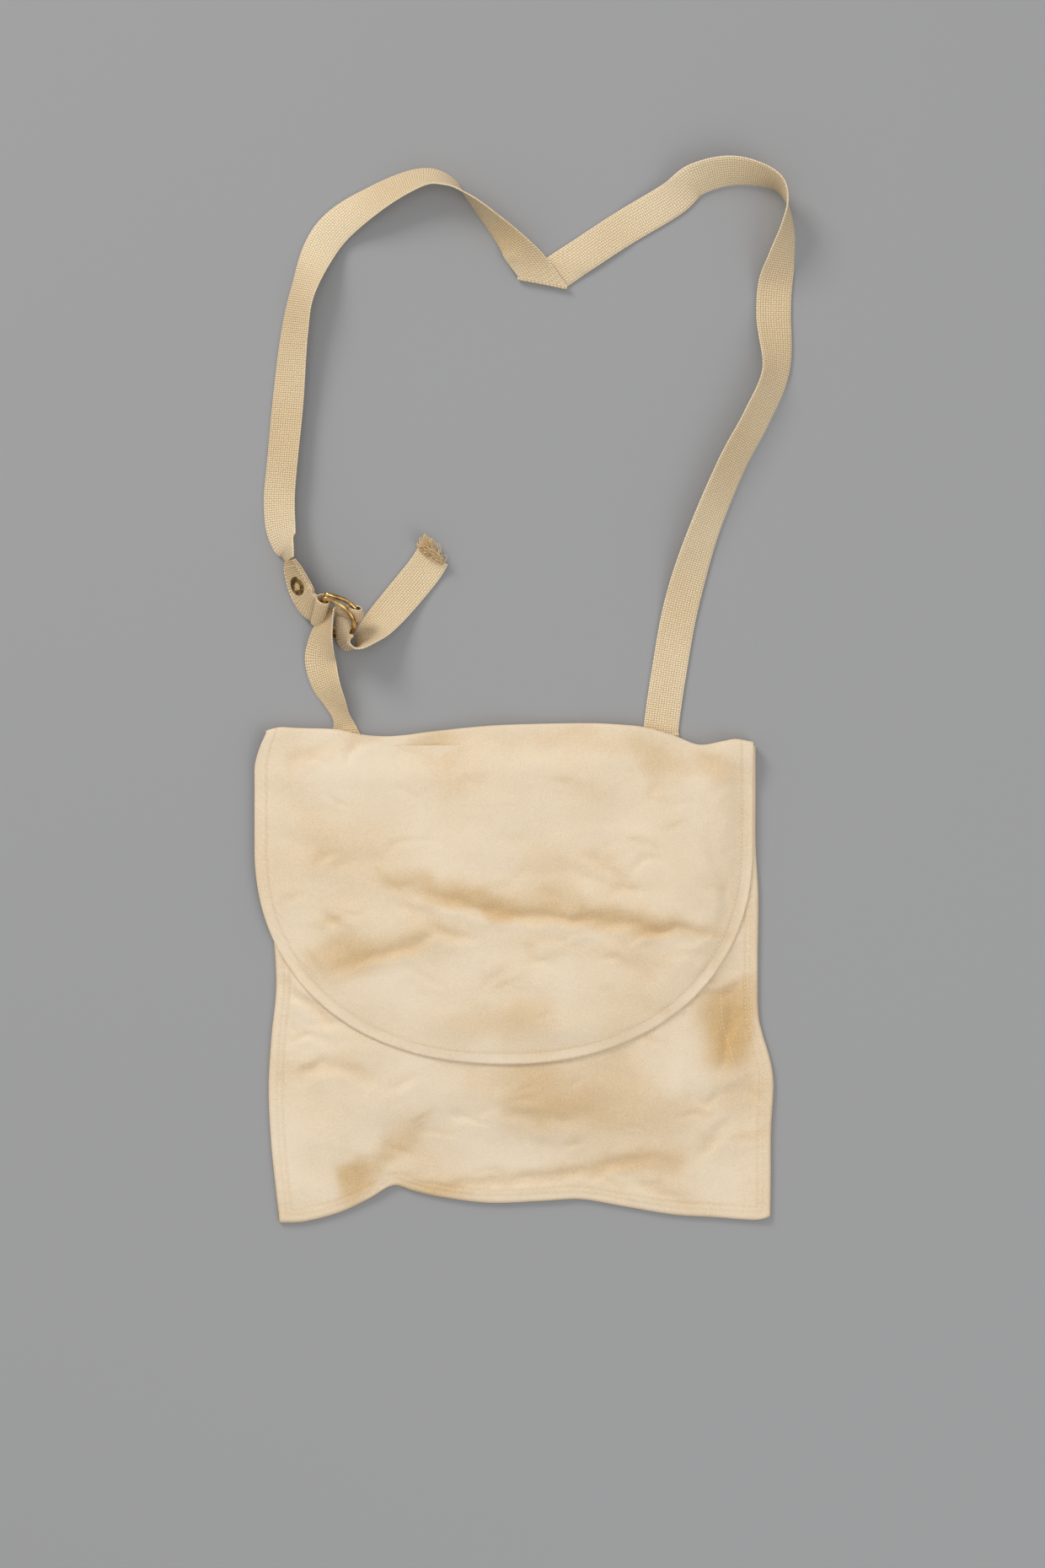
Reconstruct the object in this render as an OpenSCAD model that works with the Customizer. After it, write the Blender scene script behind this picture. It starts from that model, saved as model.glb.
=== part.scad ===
// Canvas satchel-type mail sack lying on its back with the flap closed.
// +X runs across the bag, +Y towards the shoulder strap, +Z up through the bag.
// The origin is under the middle of bag and flap, on the surface they lie on.

/* [Bag] */
// Width of the bag at its bottom edge
bag_w = 366; // [300:1:440]
// Height of the bag from its bottom corners to the fold of the flap
bag_h = 360; // [300:1:430]
// How much narrower the bag is at its top edge
bag_taper = 12; // [0:1:20]
// How far the slack front stands off the back
puff = 12; // [9:0.5:16]
// Thickness of the canvas
cloth = 1.2; // [0.8:0.1:1.4]
// Rise of the bottom edge in its middle
bottom_rise = 18; // [0:1:24]
// Depth of the flat seam margin
rim = 14; // [11:0.5:18]
// Depth of the hem along the mouth
hem_d = 20; // [12:1:26]
// Distance from the mouth's edge up to the flap's fold
mouth_drop = 14; // [12:0.5:18]

/* [Flap] */
// Width of the flap
flap_w = 360; // [300:1:430]
// Length of the flap from its fold to its tip
flap_l = 242; // [200:1:280]
// Length of the flap's straight sides
flap_side = 85; // [60:1:110]
// How far the flap lies to the left of the bag
flap_skew = 13; // [0:1:16]
// Thickness of each of the flap's two layers
layer_t = 0.8; // [0.6:0.1:1.0]
// Distance of the topstitching from the flap's edge
edge_seam = 9; // [7:0.5:12]
// Width of the fastener patch
patch_w = 45; // [34:1:54]
// Height of the fastener patch
patch_h = 28; // [22:1:34]
// Distance of the patch's middle from the flap's tip
patch_up = 73; // [60:1:90]

/* [Webbing] */
// Width of the webbing
web_w = 25.4; // [21:0.1:30]
// Thickness of the webbing
web_t = 1.5; // [1.1:0.1:1.8]
// Length of each strap end that is sewn to the back
sewn_l = 50; // [40:1:60]
// Distance of the shoulder strap's root from the bag's middle
strap_x = 106; // [90:1:115]
// Distance of the short strap's root from the bag's middle
billet_x = 123; // [105:1:130]

/* [Fittings] */
// Diameter of the rings' wire
wire_d = 3.4; // [2.8:0.1:3.8]
// Upward tilt of the upper ring
ring_tilt = 12; // [10:0.5:14]
// Turn of both rings in plan
ring_yaw = -7; // [-10:0.5:-4]
// Outer diameter of the eyelet
eyelet_d = 14; // [11:0.5:16]
// Diameter of the eyelet's hole
eyelet_hole = 6; // [5:0.1:7]

/* [Hidden] */
$fn = 32;

// play between two layers of one body, and between two bodies
snug = 0.05;
play = 0.4;
thread_d = 0.6;
flap_gap = thread_d + 1.1;

// places across and along the bag
bag_x = (flap_skew + (flap_w - bag_w) / 2) / 2;
flap_x = bag_x - flap_skew;
top_y = bag_h / 2;
low_y = -bag_h / 2;
roll_r = 1.6;
hinge_y = top_y - roll_r;
hinge_z = web_t + roll_r + 0.7;
back_top = top_y - 2 * roll_r - play;
mouth_y = top_y - mouth_drop;

// the layers of the seam margin, from the ground up
tape_t = 1;
tape_z = cloth + snug;
seat_z = tape_z + tape_t + snug;
rim_top = seat_z + cloth;

// the pocket in the back over each sewn strap end
lie_z = 0.1;
pocket_z = lie_z + web_t + 0.5;
slot_w = web_w + 1.2;
pocket_w = slot_w + 2;

canvas = [0.90, 0.83, 0.71];
lining = [0.86, 0.78, 0.64];
webbing = [0.87, 0.76, 0.58];
cotton = [0.95, 0.90, 0.80];
brass = [0.69, 0.55, 0.33];

// ---- the bag's outline and the height of its front ----

function share(v, a, b) = min(1, max(0, (v - a) / (b - a)));
function right_edge(y) = bag_x + bag_w / 2 - bag_taper * share(y, low_y, top_y);
function left_edge() = bag_x - bag_w / 2;
function edge_x(s, y) = left_edge() + s * (right_edge(y) - left_edge());
function bottom_edge(s) = low_y + bottom_rise * sin(180 * pow(s, 0.7));

// 0 on the flat seam margins, 1 in the middle of the bag
function swell_x(x, y) =
    let (mid = (left_edge() + right_edge(y)) / 2,
         n = abs(x - mid) / (right_edge(y) - mid - rim))
    n < 1 ? 1 - pow(n, 3) : 0;
function swell_y(y) =
    let (up = sin(90 * share(y, low_y + bottom_rise + rim, low_y + bag_h / 3)),
         down = 1 - 0.4 * pow(share(y, 0, mouth_y), 2))
    up * down;
function front_z(x, y) = seat_z + puff * swell_x(x, y) * swell_y(min(y, mouth_y));
function front_top(x, y) = front_z(x, y) + cloth;

// ---- the flap's outline and the height of its lining ----

function flap_half(y, inset) =
    let (n = share(y, hinge_y - flap_side, hinge_y - flap_l + inset))
    (flap_w / 2 - inset) * pow(max(0, 1 - pow(n, 2.2)), 1 / 2.2);
patch_y = hinge_y - flap_l + patch_up;
function patch_room(x, y) =
    2.6 * exp(-pow((x - flap_x) / patch_w, 4)) * exp(-pow((y - patch_y) / patch_h, 4));
function flap_z(x, y) = min(
    hinge_z + 0.63 * (hinge_y - y) + 0.5,
    front_top(x, y) + flap_gap + patch_room(x, y)
);
function flap_top(x, y) = flap_z(x, y) + 2 * layer_t + snug;

// ---- a closed sheet over a grid of points ----

// rows: a list of rows of [x, y, lower z, upper z]
module sheet(rows) {
    n = len(rows);
    m = len(rows[0]);
    low = [for (r = rows, p = r) [p[0], p[1], p[2]]];
    up = [for (r = rows, p = r) [p[0], p[1], p[3]]];
    function lo(i, j) = i * m + j;
    function hi(i, j) = n * m + i * m + j;
    grid = [for (i = [0:n - 2], j = [0:m - 2]) [i, j]];
    polyhedron(concat(low, up), concat(
        [for (g = grid) [lo(g[0], g[1]), lo(g[0] + 1, g[1]), lo(g[0], g[1] + 1)]],
        [for (g = grid) [lo(g[0] + 1, g[1]), lo(g[0] + 1, g[1] + 1), lo(g[0], g[1] + 1)]],
        [for (g = grid) [hi(g[0], g[1]), hi(g[0], g[1] + 1), hi(g[0] + 1, g[1])]],
        [for (g = grid) [hi(g[0] + 1, g[1]), hi(g[0], g[1] + 1), hi(g[0] + 1, g[1] + 1)]],
        [for (j = [0:m - 2]) [lo(0, j), lo(0, j + 1), hi(0, j + 1), hi(0, j)]],
        [for (j = [0:m - 2]) [lo(n - 1, j + 1), lo(n - 1, j), hi(n - 1, j), hi(n - 1, j + 1)]],
        [for (i = [0:n - 2]) [lo(i + 1, 0), lo(i, 0), hi(i, 0), hi(i + 1, 0)]],
        [for (i = [0:n - 2]) [lo(i, m - 1), lo(i + 1, m - 1), hi(i + 1, m - 1), hi(i, m - 1)]]
    ), convexity = 6);
}

// ---- a smooth route, and a flat or round solid swept along it ----

function spline(p, q, r, s, t) = 0.5 * (2 * q + (r - p) * t
    + (2 * p - 5 * q + 4 * r - s) * t * t + (3 * q - p - 3 * r + s) * t * t * t);
function smooth(p, n) = [
    for (i = [0:len(p) - 2], k = [0:n - 1])
        spline(p[max(i - 1, 0)], p[i], p[i + 1], p[min(i + 2, len(p) - 1)], k / n),
    p[len(p) - 1]
];
function unit(v) = v / norm(v);
function heading(c, i) = unit(c[min(i + 1, len(c) - 1)] - c[max(i - 1, 0)]);
// where webbing of width w and thickness t lies when it is tilted by a degrees
function lying(p, t) =
    [p[0], top_y + p[1], lie_z + p[3] + web_w * p[4] / 2 * abs(sin(p[2])) + t / 2 * abs(cos(p[2]))];
function across(t, a) =
    let (h = unit(cross([0, 0, 1], t)), n = cross(t, h)) h * cos(a) + n * sin(a);
function flat_ring(c, t, w, a, thick) =
    let (side = across(t, a), face = cross(t, side), x = w / 2, z = thick / 2, e = thick / 3)
    [for (q = [[x, z - e], [x - e, z], [e - x, z], [-x, z - e],
               [-x, e - z], [e - x, -z], [x - e, -z], [x, e - z]])
        c + side * q[0] + face * q[1]];

// rings: a list of closed rings with the same number of points
// The diagonals run the same way on both faces, so that twisted webbing keeps its thickness.
module skin(rings) {
    n = len(rings);
    m = len(rings[0]);
    function at(i, j) = i * m + j % m;
    polyhedron([for (r = rings, p = r) p], concat(
        [[for (j = [0:m - 1]) j]],
        [for (i = [0:n - 2], j = [0:m - 1])
            [at(i, j), at(i + 1, j), j < m / 2 ? at(i + 1, j + 1) : at(i, j + 1)]],
        [for (i = [0:n - 2], j = [0:m - 1])
            [j < m / 2 ? at(i, j) : at(i + 1, j), at(i + 1, j + 1), at(i, j + 1)]],
        [[for (j = [m - 1:-1:0]) at(n - 1, j)]]
    ), convexity = 10);
}

// route: a list of [x, distance past the fold, tilt, lift, share of the width]
module ribbon(route, thick, steps) {
    s = smooth(route, steps);
    c = [for (p = s) lying(p, thick)];
    skin([for (i = [0:len(s) - 1]) flat_ring(c[i], heading(c, i), web_w * s[i][4], s[i][2], thick)]);
}

// a thread along a list of points
module thread(points) {
    skin([for (i = [0:len(points) - 1])
        let (t = heading(points, i), h = unit(cross([0, 0, 1], t)), n = cross(t, h))
        [for (a = [0:60:300]) points[i] + thread_d / 2 * (h * cos(a) + n * sin(a))]]);
}

// ---- routes of the webbing: [x, past the fold, tilt, lift, share of the width] ----

SHOULDER = [
    [strap_x, -sewn_l, 0, 0, 1], [strap_x, -10, 0, 0, 1], [strap_x, 1, 0, 0, 1],
    [strap_x + 5, 36, 0, 0, 1],
    [120, 86, 5, 0, 1], [135, 137, 28, 0, 1], [156, 188, 36, 0, 1],
    [174, 222, 38, 0, 1], [188, 256, 36, 0, 1], [187, 296, 6, 0, 1],
    [188, 318, 10, 0, 1], [192, 338, 40, 0, 1], [196, 358, 64, 0, 1],
    [196, 378, 88, 0, 1], [186, 393, 110, 0, 1], [158, 400, 136, 0, 1],
    [131, 394, 150, 0, 1], [113, 380, 168, 0, 1], [79, 360, 180, 0, 1],
    [48, 340, 190, 0, 1], [28, 326, 236, 0, 1], [15, 326, 270, 0, 1],
    [2, 339, 306, 0, 1], [-13, 357, 298, 0, 1], [-31, 378, 276, 0, 1],
    [-48, 392, 246, 0, 1], [-68, 395, 230, 0, 1], [-101, 380, 212, 0, 1],
    [-134, 355, 188, 0, 1], [-152, 316, 220, 0, 1], [-159, 283, 216, 0, 1],
    [-164, 232, 204, 0, 1], [-168, 190, 202, 0, 1], [-170, 160, 200, 0, 1],
    [-169, 140, 156, 0, 1], [-166, 128, 104, 0, 1], [-162, 119, 74, 0, 1]
];
STRAP_END = [
    [-162, 119, 74, 0, 1], [-160, 113, 62, 0, 1], [-155.5, 101, 50, 0, 1],
    [-153, 94, 40, 0, 1], [-151.5, 90, 34, 0, 1]
];
BILLET = [
    [-billet_x, -sewn_l, 0, 0, 1], [-billet_x, -10, 0, 0, 1], [-billet_x, 1, 0, 0, 1],
    [-127, 12, -12, 0, 0.62],
    [-136, 28, -16, 0, 1], [-140, 42, -14, 1, 1], [-140, 54, -20, 5, 0.9],
    [-139, 66, -20, 13, 0.72], [-135, 76, -10, 12.5, 0.58], [-131, 83, 0, 9, 0.48]
];
TAIL = [
    [-128, 81, 0, 0.5, 0.5], [-127, 76, 0, 3, 0.5], [-126, 72, 15, 11, 0.5],
    [-125, 67, 26, 17, 0.54], [-124.5, 62, 34, 16.5, 0.56], [-122.5, 56.5, 64, 7, 0.8],
    [-118.5, 54.5, 90, 0, 1], [-111, 56, 110, 0, 1], [-102, 69, 148, 0, 1],
    [-84, 90, 174, 0, 1], [-66, 112, 180, 0, 1], [-59, 123, 172, 0, 1]
];

// ---- places of the fittings ----

wire_r = wire_d / 2;
ring_half = web_w / 2 + 1.1 + wire_r;
ring_leg = ring_half * 0.68;
lower_bar_z = 2.6 + wire_r;
upper_bar_z = lower_bar_z + wire_d + 0.5;
ring_at = [-142, top_y + 79.5];
loop_in = wire_r + play;
loop_tongue = 8;
loop_mid = (lower_bar_z + upper_bar_z) / 2;
wrap_lo = lie_z + 0.5 + web_t / 2;
wrap_hi = lower_bar_z + wire_r + 2.1 + web_t / 2;
wrap_w = web_w / 2;
wrap_mid = 4.5;
wrap_out = ring_leg + ring_half;

// moves children into the rings' own frame: +X away from the bar, +Y along it
module at_rings() {
    translate([ring_at[0], ring_at[1], 0])
        rotate([0, 0, ring_yaw])
            children();
}

// ---- bag ----

module back_panel() {
    n = 24;
    edge = [for (i = [0:n]) [edge_x(i / n, low_y), bottom_edge(i / n)]];
    color(canvas)
        difference() {
            union() {
                linear_extrude(cloth)
                    polygon(concat(edge, [[right_edge(back_top), back_top],
                                          [left_edge(), back_top]]));
                for (x = [strap_x, -billet_x])
                    pocket_block(x);
            }
            for (x = [strap_x, -billet_x])
                translate([x - slot_w / 2, top_y - sewn_l - snug, -1])
                    cube([slot_w, sewn_l + 1, pocket_z + 1]);
        }
}

module pocket_block(x) {
    translate([x - pocket_w / 2, top_y - sewn_l - 1, 0])
        cube([pocket_w, back_top - top_y + sewn_l + 1, pocket_z + cloth]);
}

// one row of the front at share t of its height, from under edge a to edge b
function front_row(t, m, drop, thick) = [
    for (j = [0:m])
        let (s = j / m,
             y = bottom_edge(s) + t * (mouth_y - bottom_edge(s)),
             x = edge_x(s, y),
             z = front_z(x, y) - drop)
        [x, y, z, z + thick]
];

module front_panel() {
    rows = 26;
    color(canvas)
        sheet([for (i = [0:rows]) front_row(i / rows, 30, 0, cloth)]);
}

module mouth_hem() {
    rows = 3;
    from = 1 - hem_d / (mouth_y - low_y);
    color(lining)
        sheet([for (i = [0:rows])
            [for (p = front_row(from + i / rows * (1 - from), 30, cloth + snug, cloth))
                if (abs(p[0] - bag_x) < bag_w / 2 - bag_taper / 2 - rim - 2) p]]);
}

// a strip of binding tape between the panels, along one side
module side_binding(s) {
    y0 = low_y + rim + 3;
    in = s == 0 ? 1 : -1;
    color(lining)
        linear_extrude(tape_t)
            polygon([[edge_x(s, y0) + in, y0], [edge_x(s, mouth_y) + in, mouth_y],
                     [edge_x(s, mouth_y) + in * (rim - 3), mouth_y],
                     [edge_x(s, y0) + in * (rim - 3), y0]]);
}

module left_seam_binding() {
    translate([0, 0, tape_z])
        side_binding(0);
}

module right_seam_binding() {
    translate([0, 0, tape_z])
        side_binding(1);
}

module bottom_seam_binding() {
    n = 24;
    deep = rim - 3;
    in = [for (i = [0:n]) [edge_x(i / n, low_y), bottom_edge(i / n)]];
    color(lining)
        translate([0, 0, tape_z])
            linear_extrude(tape_t)
                polygon(concat([for (i = [1:n - 1]) in[i] + [0, 1]],
                               [for (i = [n - 1:-1:1]) in[i] + [0, deep]]));
}

// two rows of stitching on the seam margin of one side
module seam_thread(s) {
    in = s == 0 ? 1 : -1;
    y0 = low_y + rim;
    color(cotton)
        for (d = [5, 9])
            thread([for (i = [0:8])
                let (y = y0 + i / 8 * (mouth_y - 2 - y0))
                [edge_x(s, y) + in * d, y, rim_top + thread_d / 2 + snug]]);
}

module left_seam_thread() {
    seam_thread(0);
}

module right_seam_thread() {
    seam_thread(1);
}

// the row that holds the turned-in allowance behind the front
module allowance_thread(s) {
    in = s == 0 ? 1 : -1;
    y0 = low_y + rim + bottom_rise;
    color(cotton)
        thread([for (i = [0:16])
            let (y = y0 + i / 16 * (mouth_y - 2 - y0), x = edge_x(s, y) + in * 2 * rim)
            [x, y, front_top(x, y) + thread_d]]);
}

module left_allowance_thread() {
    allowance_thread(0);
}

module right_allowance_thread() {
    allowance_thread(1);
}

// a patch that follows a height, w by h, about the fastener's middle
function patch_row(i, n, w, h, at) = [
    for (j = [0:n])
        let (x = flap_x + w * (j / n - 0.5), y = patch_y + h * (i / n - 0.5))
        at == "front" ? [x, y, front_top(x, y) + 0.2, front_top(x, y) + 1.2]
                      : [x, y, flap_z(x, y) - 1.4, flap_z(x, y) - 0.4]
];

module loop_patch() {
    color(lining)
        sheet([for (i = [0:6]) patch_row(i, 6, patch_w, patch_h, "front")]);
}

// the crossed square of stitches that holds a strap end to the back
module anchor_thread(x) {
    w = web_w - 6;
    color(cotton)
        translate([x, top_y - sewn_l / 2 - 2, pocket_z + cloth + snug])
            linear_extrude(thread_d) {
                difference() {
                    square(w, center = true);
                    square(w - 2 * thread_d, center = true);
                }
                for (a = [-45, 45])
                    rotate(a)
                        square([(w - thread_d) * sqrt(2), thread_d], center = true);
            }
}

module left_anchor_thread() {
    anchor_thread(-billet_x);
}

module right_anchor_thread() {
    anchor_thread(strap_x);
}

// ---- flap ----

module flap_fold() {
    color(canvas)
        translate([flap_x - flap_w / 2 + 2, hinge_y, hinge_z])
            rotate([0, 90, 0])
                cylinder(r = roll_r, h = flap_w - 4);
}

// distance of row i of n from the first row: close together at the fold and at the tip
root_rows = 5;
root_step = 3.4;
function row_at(i, n, l) =
    i <= root_rows ? root_step * i
    : root_step * root_rows
        + (l - root_step * root_rows) * sin(89 * (i - root_rows) / (n - root_rows)) / sin(89);
function flap_rows(n, m, inset, low, thick) = [
    for (i = [0:n])
        let (y0 = hinge_y - roll_r - 0.3,
             y = y0 - row_at(i, n, flap_l - inset - roll_r - 0.5),
             half = flap_half(y, inset))
        [for (j = [0:m])
            let (x = flap_x + half * sin(90 * (2 * j / m - 1)), z = flap_z(x, y) + low)
            [x, y, z, z + thick]]
];

module flap_outer() {
    color(canvas)
        sheet(flap_rows(28, 30, 0, layer_t + snug, layer_t));
}

module flap_lining() {
    color(lining)
        sheet(flap_rows(28, 30, 0.6, 0, layer_t));
}

module flap_edge_thread() {
    n = 60;
    deep = flap_l - edge_seam;
    color(cotton)
        thread([for (i = [0:n])
            let (a = 180 * i / n,
                 straight = hinge_y - flap_side,
                 y = straight - (deep - flap_side) * pow(sin(a), 2 / 2.2),
                 x = flap_x + (i < n / 2 ? -1 : 1) * flap_half(y, edge_seam))
            [x, y, flap_top(x, y) + thread_d]]);
}

module hook_patch() {
    color(lining)
        sheet([for (i = [0:6]) patch_row(i, 6, patch_w, patch_h, "flap")]);
}

module hook_patch_thread() {
    n = 6;
    w = patch_w / 2;
    h = patch_h / 2;
    corners = [[w, h], [-w, h], [-w, -h], [w, -h], [w, h]];
    color(cotton)
        for (k = [0:3])
            thread([for (i = [0:n])
                let (p = corners[k] + (0.02 + 0.96 * i / n) * (corners[k + 1] - corners[k]),
                     x = flap_x + p[0], y = patch_y + p[1])
                [x, y, flap_top(x, y) + thread_d]]);
}

// ---- webbing ----

module shoulder_strap() {
    color(webbing)
        ribbon(SHOULDER, web_t, 2);
}

module strap_end() {
    color(webbing)
        difference() {
            ribbon(STRAP_END, 2 * web_t, 3);
            at_eyelet()
                cylinder(d = barrel_d + 2 * snug, h = 20, center = true);
        }
}

module ring_loop() {
    color(webbing)
        at_rings()
            rotate([90, 0, 0])
                linear_extrude(web_w, center = true)
                    difference() {
                        union() {
                            loop_outline(loop_in + web_t);
                            translate([-loop_in - loop_tongue, loop_mid - web_t])
                                square([loop_tongue, 2 * web_t]);
                        }
                        loop_outline(loop_in);
                    }
}

module loop_outline(r) {
    hull()
        for (z = [lower_bar_z, upper_bar_z])
            translate([0, z])
                circle(r);
}

// the row of stitches across the strap end, next to the rings
module loop_thread() {
    s = smooth(STRAP_END, 4);
    c = [for (p = s) lying(p, 2 * web_t)];
    i = 13;
    t = heading(c, i);
    side = across(t, s[i][2]);
    face = cross(t, side);
    color(cotton)
        thread([for (k = [-1, 0, 1]) c[i] + side * k * (web_w / 2 - 3) + face * (web_t + thread_d)]);
}

module billet_strap() {
    color(webbing)
        ribbon(BILLET, web_t, 4);
}

module billet_wrap() {
    mid = (wrap_hi + wrap_lo) / 2;
    r = (wrap_hi - wrap_lo) / 2;
    start = ring_leg - 2;
    color(webbing)
        at_rings()
            translate([0, wrap_mid, 0])
                rotate([90, 0, 0])
                    linear_extrude(wrap_w, center = true)
                        wrap_outline(start, mid, r);
}

module wrap_outline(start, mid, r) {
    difference() {
        union() {
            translate([start, mid - r - web_t / 2])
                square([wrap_out - start, 2 * r + web_t]);
            translate([wrap_out, mid])
                circle(r + web_t / 2);
        }
        translate([start - 1, mid - r + web_t / 2])
            square([wrap_out - start + 1, 2 * r - web_t]);
        translate([wrap_out, mid])
            circle(r - web_t / 2);
    }
}

module billet_tail() {
    color(webbing)
        ribbon(TAIL, web_t, 4);
}

module tail_fray() {
    s = TAIL[len(TAIL) - 1];
    color(webbing)
        translate([s[0] - 2, top_y + s[1] + 8, 6.5])
            scale(6)
                sphere(1);
}

// ---- fittings ----

barrel_d = eyelet_hole + 1.2;

module at_eyelet() {
    s = smooth(STRAP_END, 4);
    c = [for (p = s) lying(p, 2 * web_t)];
    i = 8;
    t = heading(c, i);
    side = across(t, s[i][2]);
    face = cross(t, side);
    multmatrix([[side[0], t[0], -face[0], c[i][0]],
                [side[1], t[1], -face[1], c[i][1]],
                [side[2], t[2], -face[2], c[i][2]]])
        children();
}

module eyelet() {
    color(brass)
        at_eyelet()
            rotate_extrude($fn = 48)
                polygon([[eyelet_hole / 2, -web_t - 1.2], [barrel_d / 2, -web_t - 1.2],
                         [barrel_d / 2, web_t + 0.2], [eyelet_d / 2, web_t + 0.2],
                         [eyelet_d / 2 - 0.6, web_t + 1], [barrel_d / 2, web_t + 1.3],
                         [eyelet_hole / 2, web_t + 0.9]]);
}

module eyelet_washer() {
    color(brass)
        at_eyelet()
            translate([0, 0, -web_t - 1])
                difference() {
                    cylinder(d = eyelet_d, h = 0.8);
                    translate([0, 0, -1])
                        cylinder(d = barrel_d + 2 * snug, h = 3);
                }
}

// a ring lying flat, with its bar on the Y axis
module d_ring() {
    rotate([90, 0, 0])
        cylinder(d = wire_d, h = 2 * ring_half, center = true);
    for (s = [-1, 1])
        translate([0, s * ring_half, 0]) {
            sphere(d = wire_d);
            rotate([0, 90, 0])
                cylinder(d = wire_d, h = ring_leg);
        }
    translate([ring_leg, 0, 0])
        rotate([0, 0, -90])
            rotate_extrude(angle = 180, $fn = 64)
                translate([ring_half, 0])
                    circle(d = wire_d);
}

module upper_d_ring() {
    color(brass)
        at_rings()
            translate([0, 0, upper_bar_z])
                rotate([0, -ring_tilt, 0])
                    d_ring();
}

module lower_d_ring() {
    color(brass)
        at_rings()
            translate([0, 0, lower_bar_z])
                d_ring();
}

back_panel();
front_panel();
left_seam_binding();
right_seam_binding();
bottom_seam_binding();
mouth_hem();
left_seam_thread();
right_seam_thread();
left_allowance_thread();
right_allowance_thread();
loop_patch();
left_anchor_thread();
right_anchor_thread();
flap_fold();
flap_outer();
flap_lining();
flap_edge_thread();
hook_patch();
hook_patch_thread();
shoulder_strap();
strap_end();
ring_loop();
loop_thread();
eyelet();
eyelet_washer();
upper_d_ring();
lower_d_ring();
billet_strap();
billet_wrap();
billet_tail();
tail_fray();
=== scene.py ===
import math

import bpy
import numpy as np
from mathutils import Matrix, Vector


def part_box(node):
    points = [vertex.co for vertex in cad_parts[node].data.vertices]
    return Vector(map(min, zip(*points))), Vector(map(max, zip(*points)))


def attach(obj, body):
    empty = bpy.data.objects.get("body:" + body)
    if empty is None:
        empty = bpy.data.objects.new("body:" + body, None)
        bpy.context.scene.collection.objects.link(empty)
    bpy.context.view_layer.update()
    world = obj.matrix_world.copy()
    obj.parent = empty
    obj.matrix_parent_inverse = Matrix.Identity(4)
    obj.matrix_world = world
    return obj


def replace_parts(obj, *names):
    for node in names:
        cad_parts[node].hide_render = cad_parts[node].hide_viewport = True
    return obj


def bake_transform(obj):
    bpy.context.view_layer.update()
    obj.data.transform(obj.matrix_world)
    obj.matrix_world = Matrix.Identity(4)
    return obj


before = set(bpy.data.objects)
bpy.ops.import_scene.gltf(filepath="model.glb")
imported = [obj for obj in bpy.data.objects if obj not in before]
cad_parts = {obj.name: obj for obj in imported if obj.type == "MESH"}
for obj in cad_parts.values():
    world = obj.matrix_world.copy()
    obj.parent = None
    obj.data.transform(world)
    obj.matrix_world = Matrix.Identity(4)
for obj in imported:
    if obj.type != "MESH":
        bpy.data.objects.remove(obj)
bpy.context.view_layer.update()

# ---------------------------------------------------------------------------
# The studio: the empty bag lies on its back on a plain pale floor, and is seen
# from straight above through a long lens, under large soft lamps.
# ---------------------------------------------------------------------------
VIEW_TALL = 1.134        # stretch of floor from the bottom to the top of the view
LENS_MM = 82.0
FILM_MM = 36.0
camera_data = bpy.data.cameras.new("studio_camera")
camera_data.lens = LENS_MM
camera_data.sensor_width = FILM_MM
camera_data.clip_end = 20.0
camera = bpy.data.objects.new("studio_camera", camera_data)
camera.location = (0.0055, 0.138, VIEW_TALL * LENS_MM / FILM_MM)
bpy.context.scene.collection.objects.link(camera)
bpy.context.scene.camera = camera
bpy.context.scene.view_settings.view_transform = "Standard"


def soft_lamp(name, place, aim, size, watts, colour):
    """A square lamp of that size at place, turned so that it shines towards aim."""
    data = bpy.data.lights.new(name, "AREA")
    data.shape = "SQUARE"
    data.size = size
    data.energy = watts
    data.color = colour
    lamp = bpy.data.objects.new(name, data)
    lamp.location = place
    away = np.array(place, float) - np.array(aim, float)
    level = math.hypot(away[0], away[1])
    lamp.rotation_euler = (math.atan2(level, away[2]), 0.0, math.atan2(away[0], -away[1]))
    bpy.context.scene.collection.objects.link(lamp)


soft_lamp("key_lamp", (-2.6, 3.5, 2.5), (0.0, 0.1, 0.0), 1.7, 120.0, (1.0, 0.98, 0.96))
soft_lamp("fill_lamp", (1.9, -1.5, 2.2), (0.0, 0.0, 0.0), 2.0, 24.0, (0.96, 0.98, 1.0))
soft_lamp("top_lamp", (0.0, 0.2, 3.4), (0.0, 0.1, 0.0), 2.4, 20.0, (1.0, 1.0, 1.0))

world = bpy.data.worlds.new("studio_room")
bpy.context.scene.world = world
world.use_nodes = True
world.node_tree.nodes["Background"].inputs["Color"].default_value = (0.96, 0.97, 1.0, 1.0)
world.node_tree.nodes["Background"].inputs["Strength"].default_value = 0.50


def set_mesh(name, points, faces):
    """A smooth mesh object from an (n, 3) array of points and a list of faces, each a tuple of
    corner numbers that runs anticlockwise seen from outside."""
    mesh = bpy.data.meshes.new(name)
    mesh.from_pydata(np.asarray(points, float).tolist(), [], faces)
    mesh.polygons.foreach_set("use_smooth", np.ones(len(mesh.polygons), bool))
    mesh.update()
    obj = bpy.data.objects.new(name, mesh)
    bpy.context.scene.collection.objects.link(obj)
    return obj


def plain_finish(name, colour, roughness):
    """A matt material of one colour."""
    material = bpy.data.materials.new(name)
    material.use_nodes = True
    shader = material.node_tree.nodes["Principled BSDF"]
    shader.inputs["Base Color"].default_value = colour
    shader.inputs["Roughness"].default_value = roughness
    return material


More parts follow.
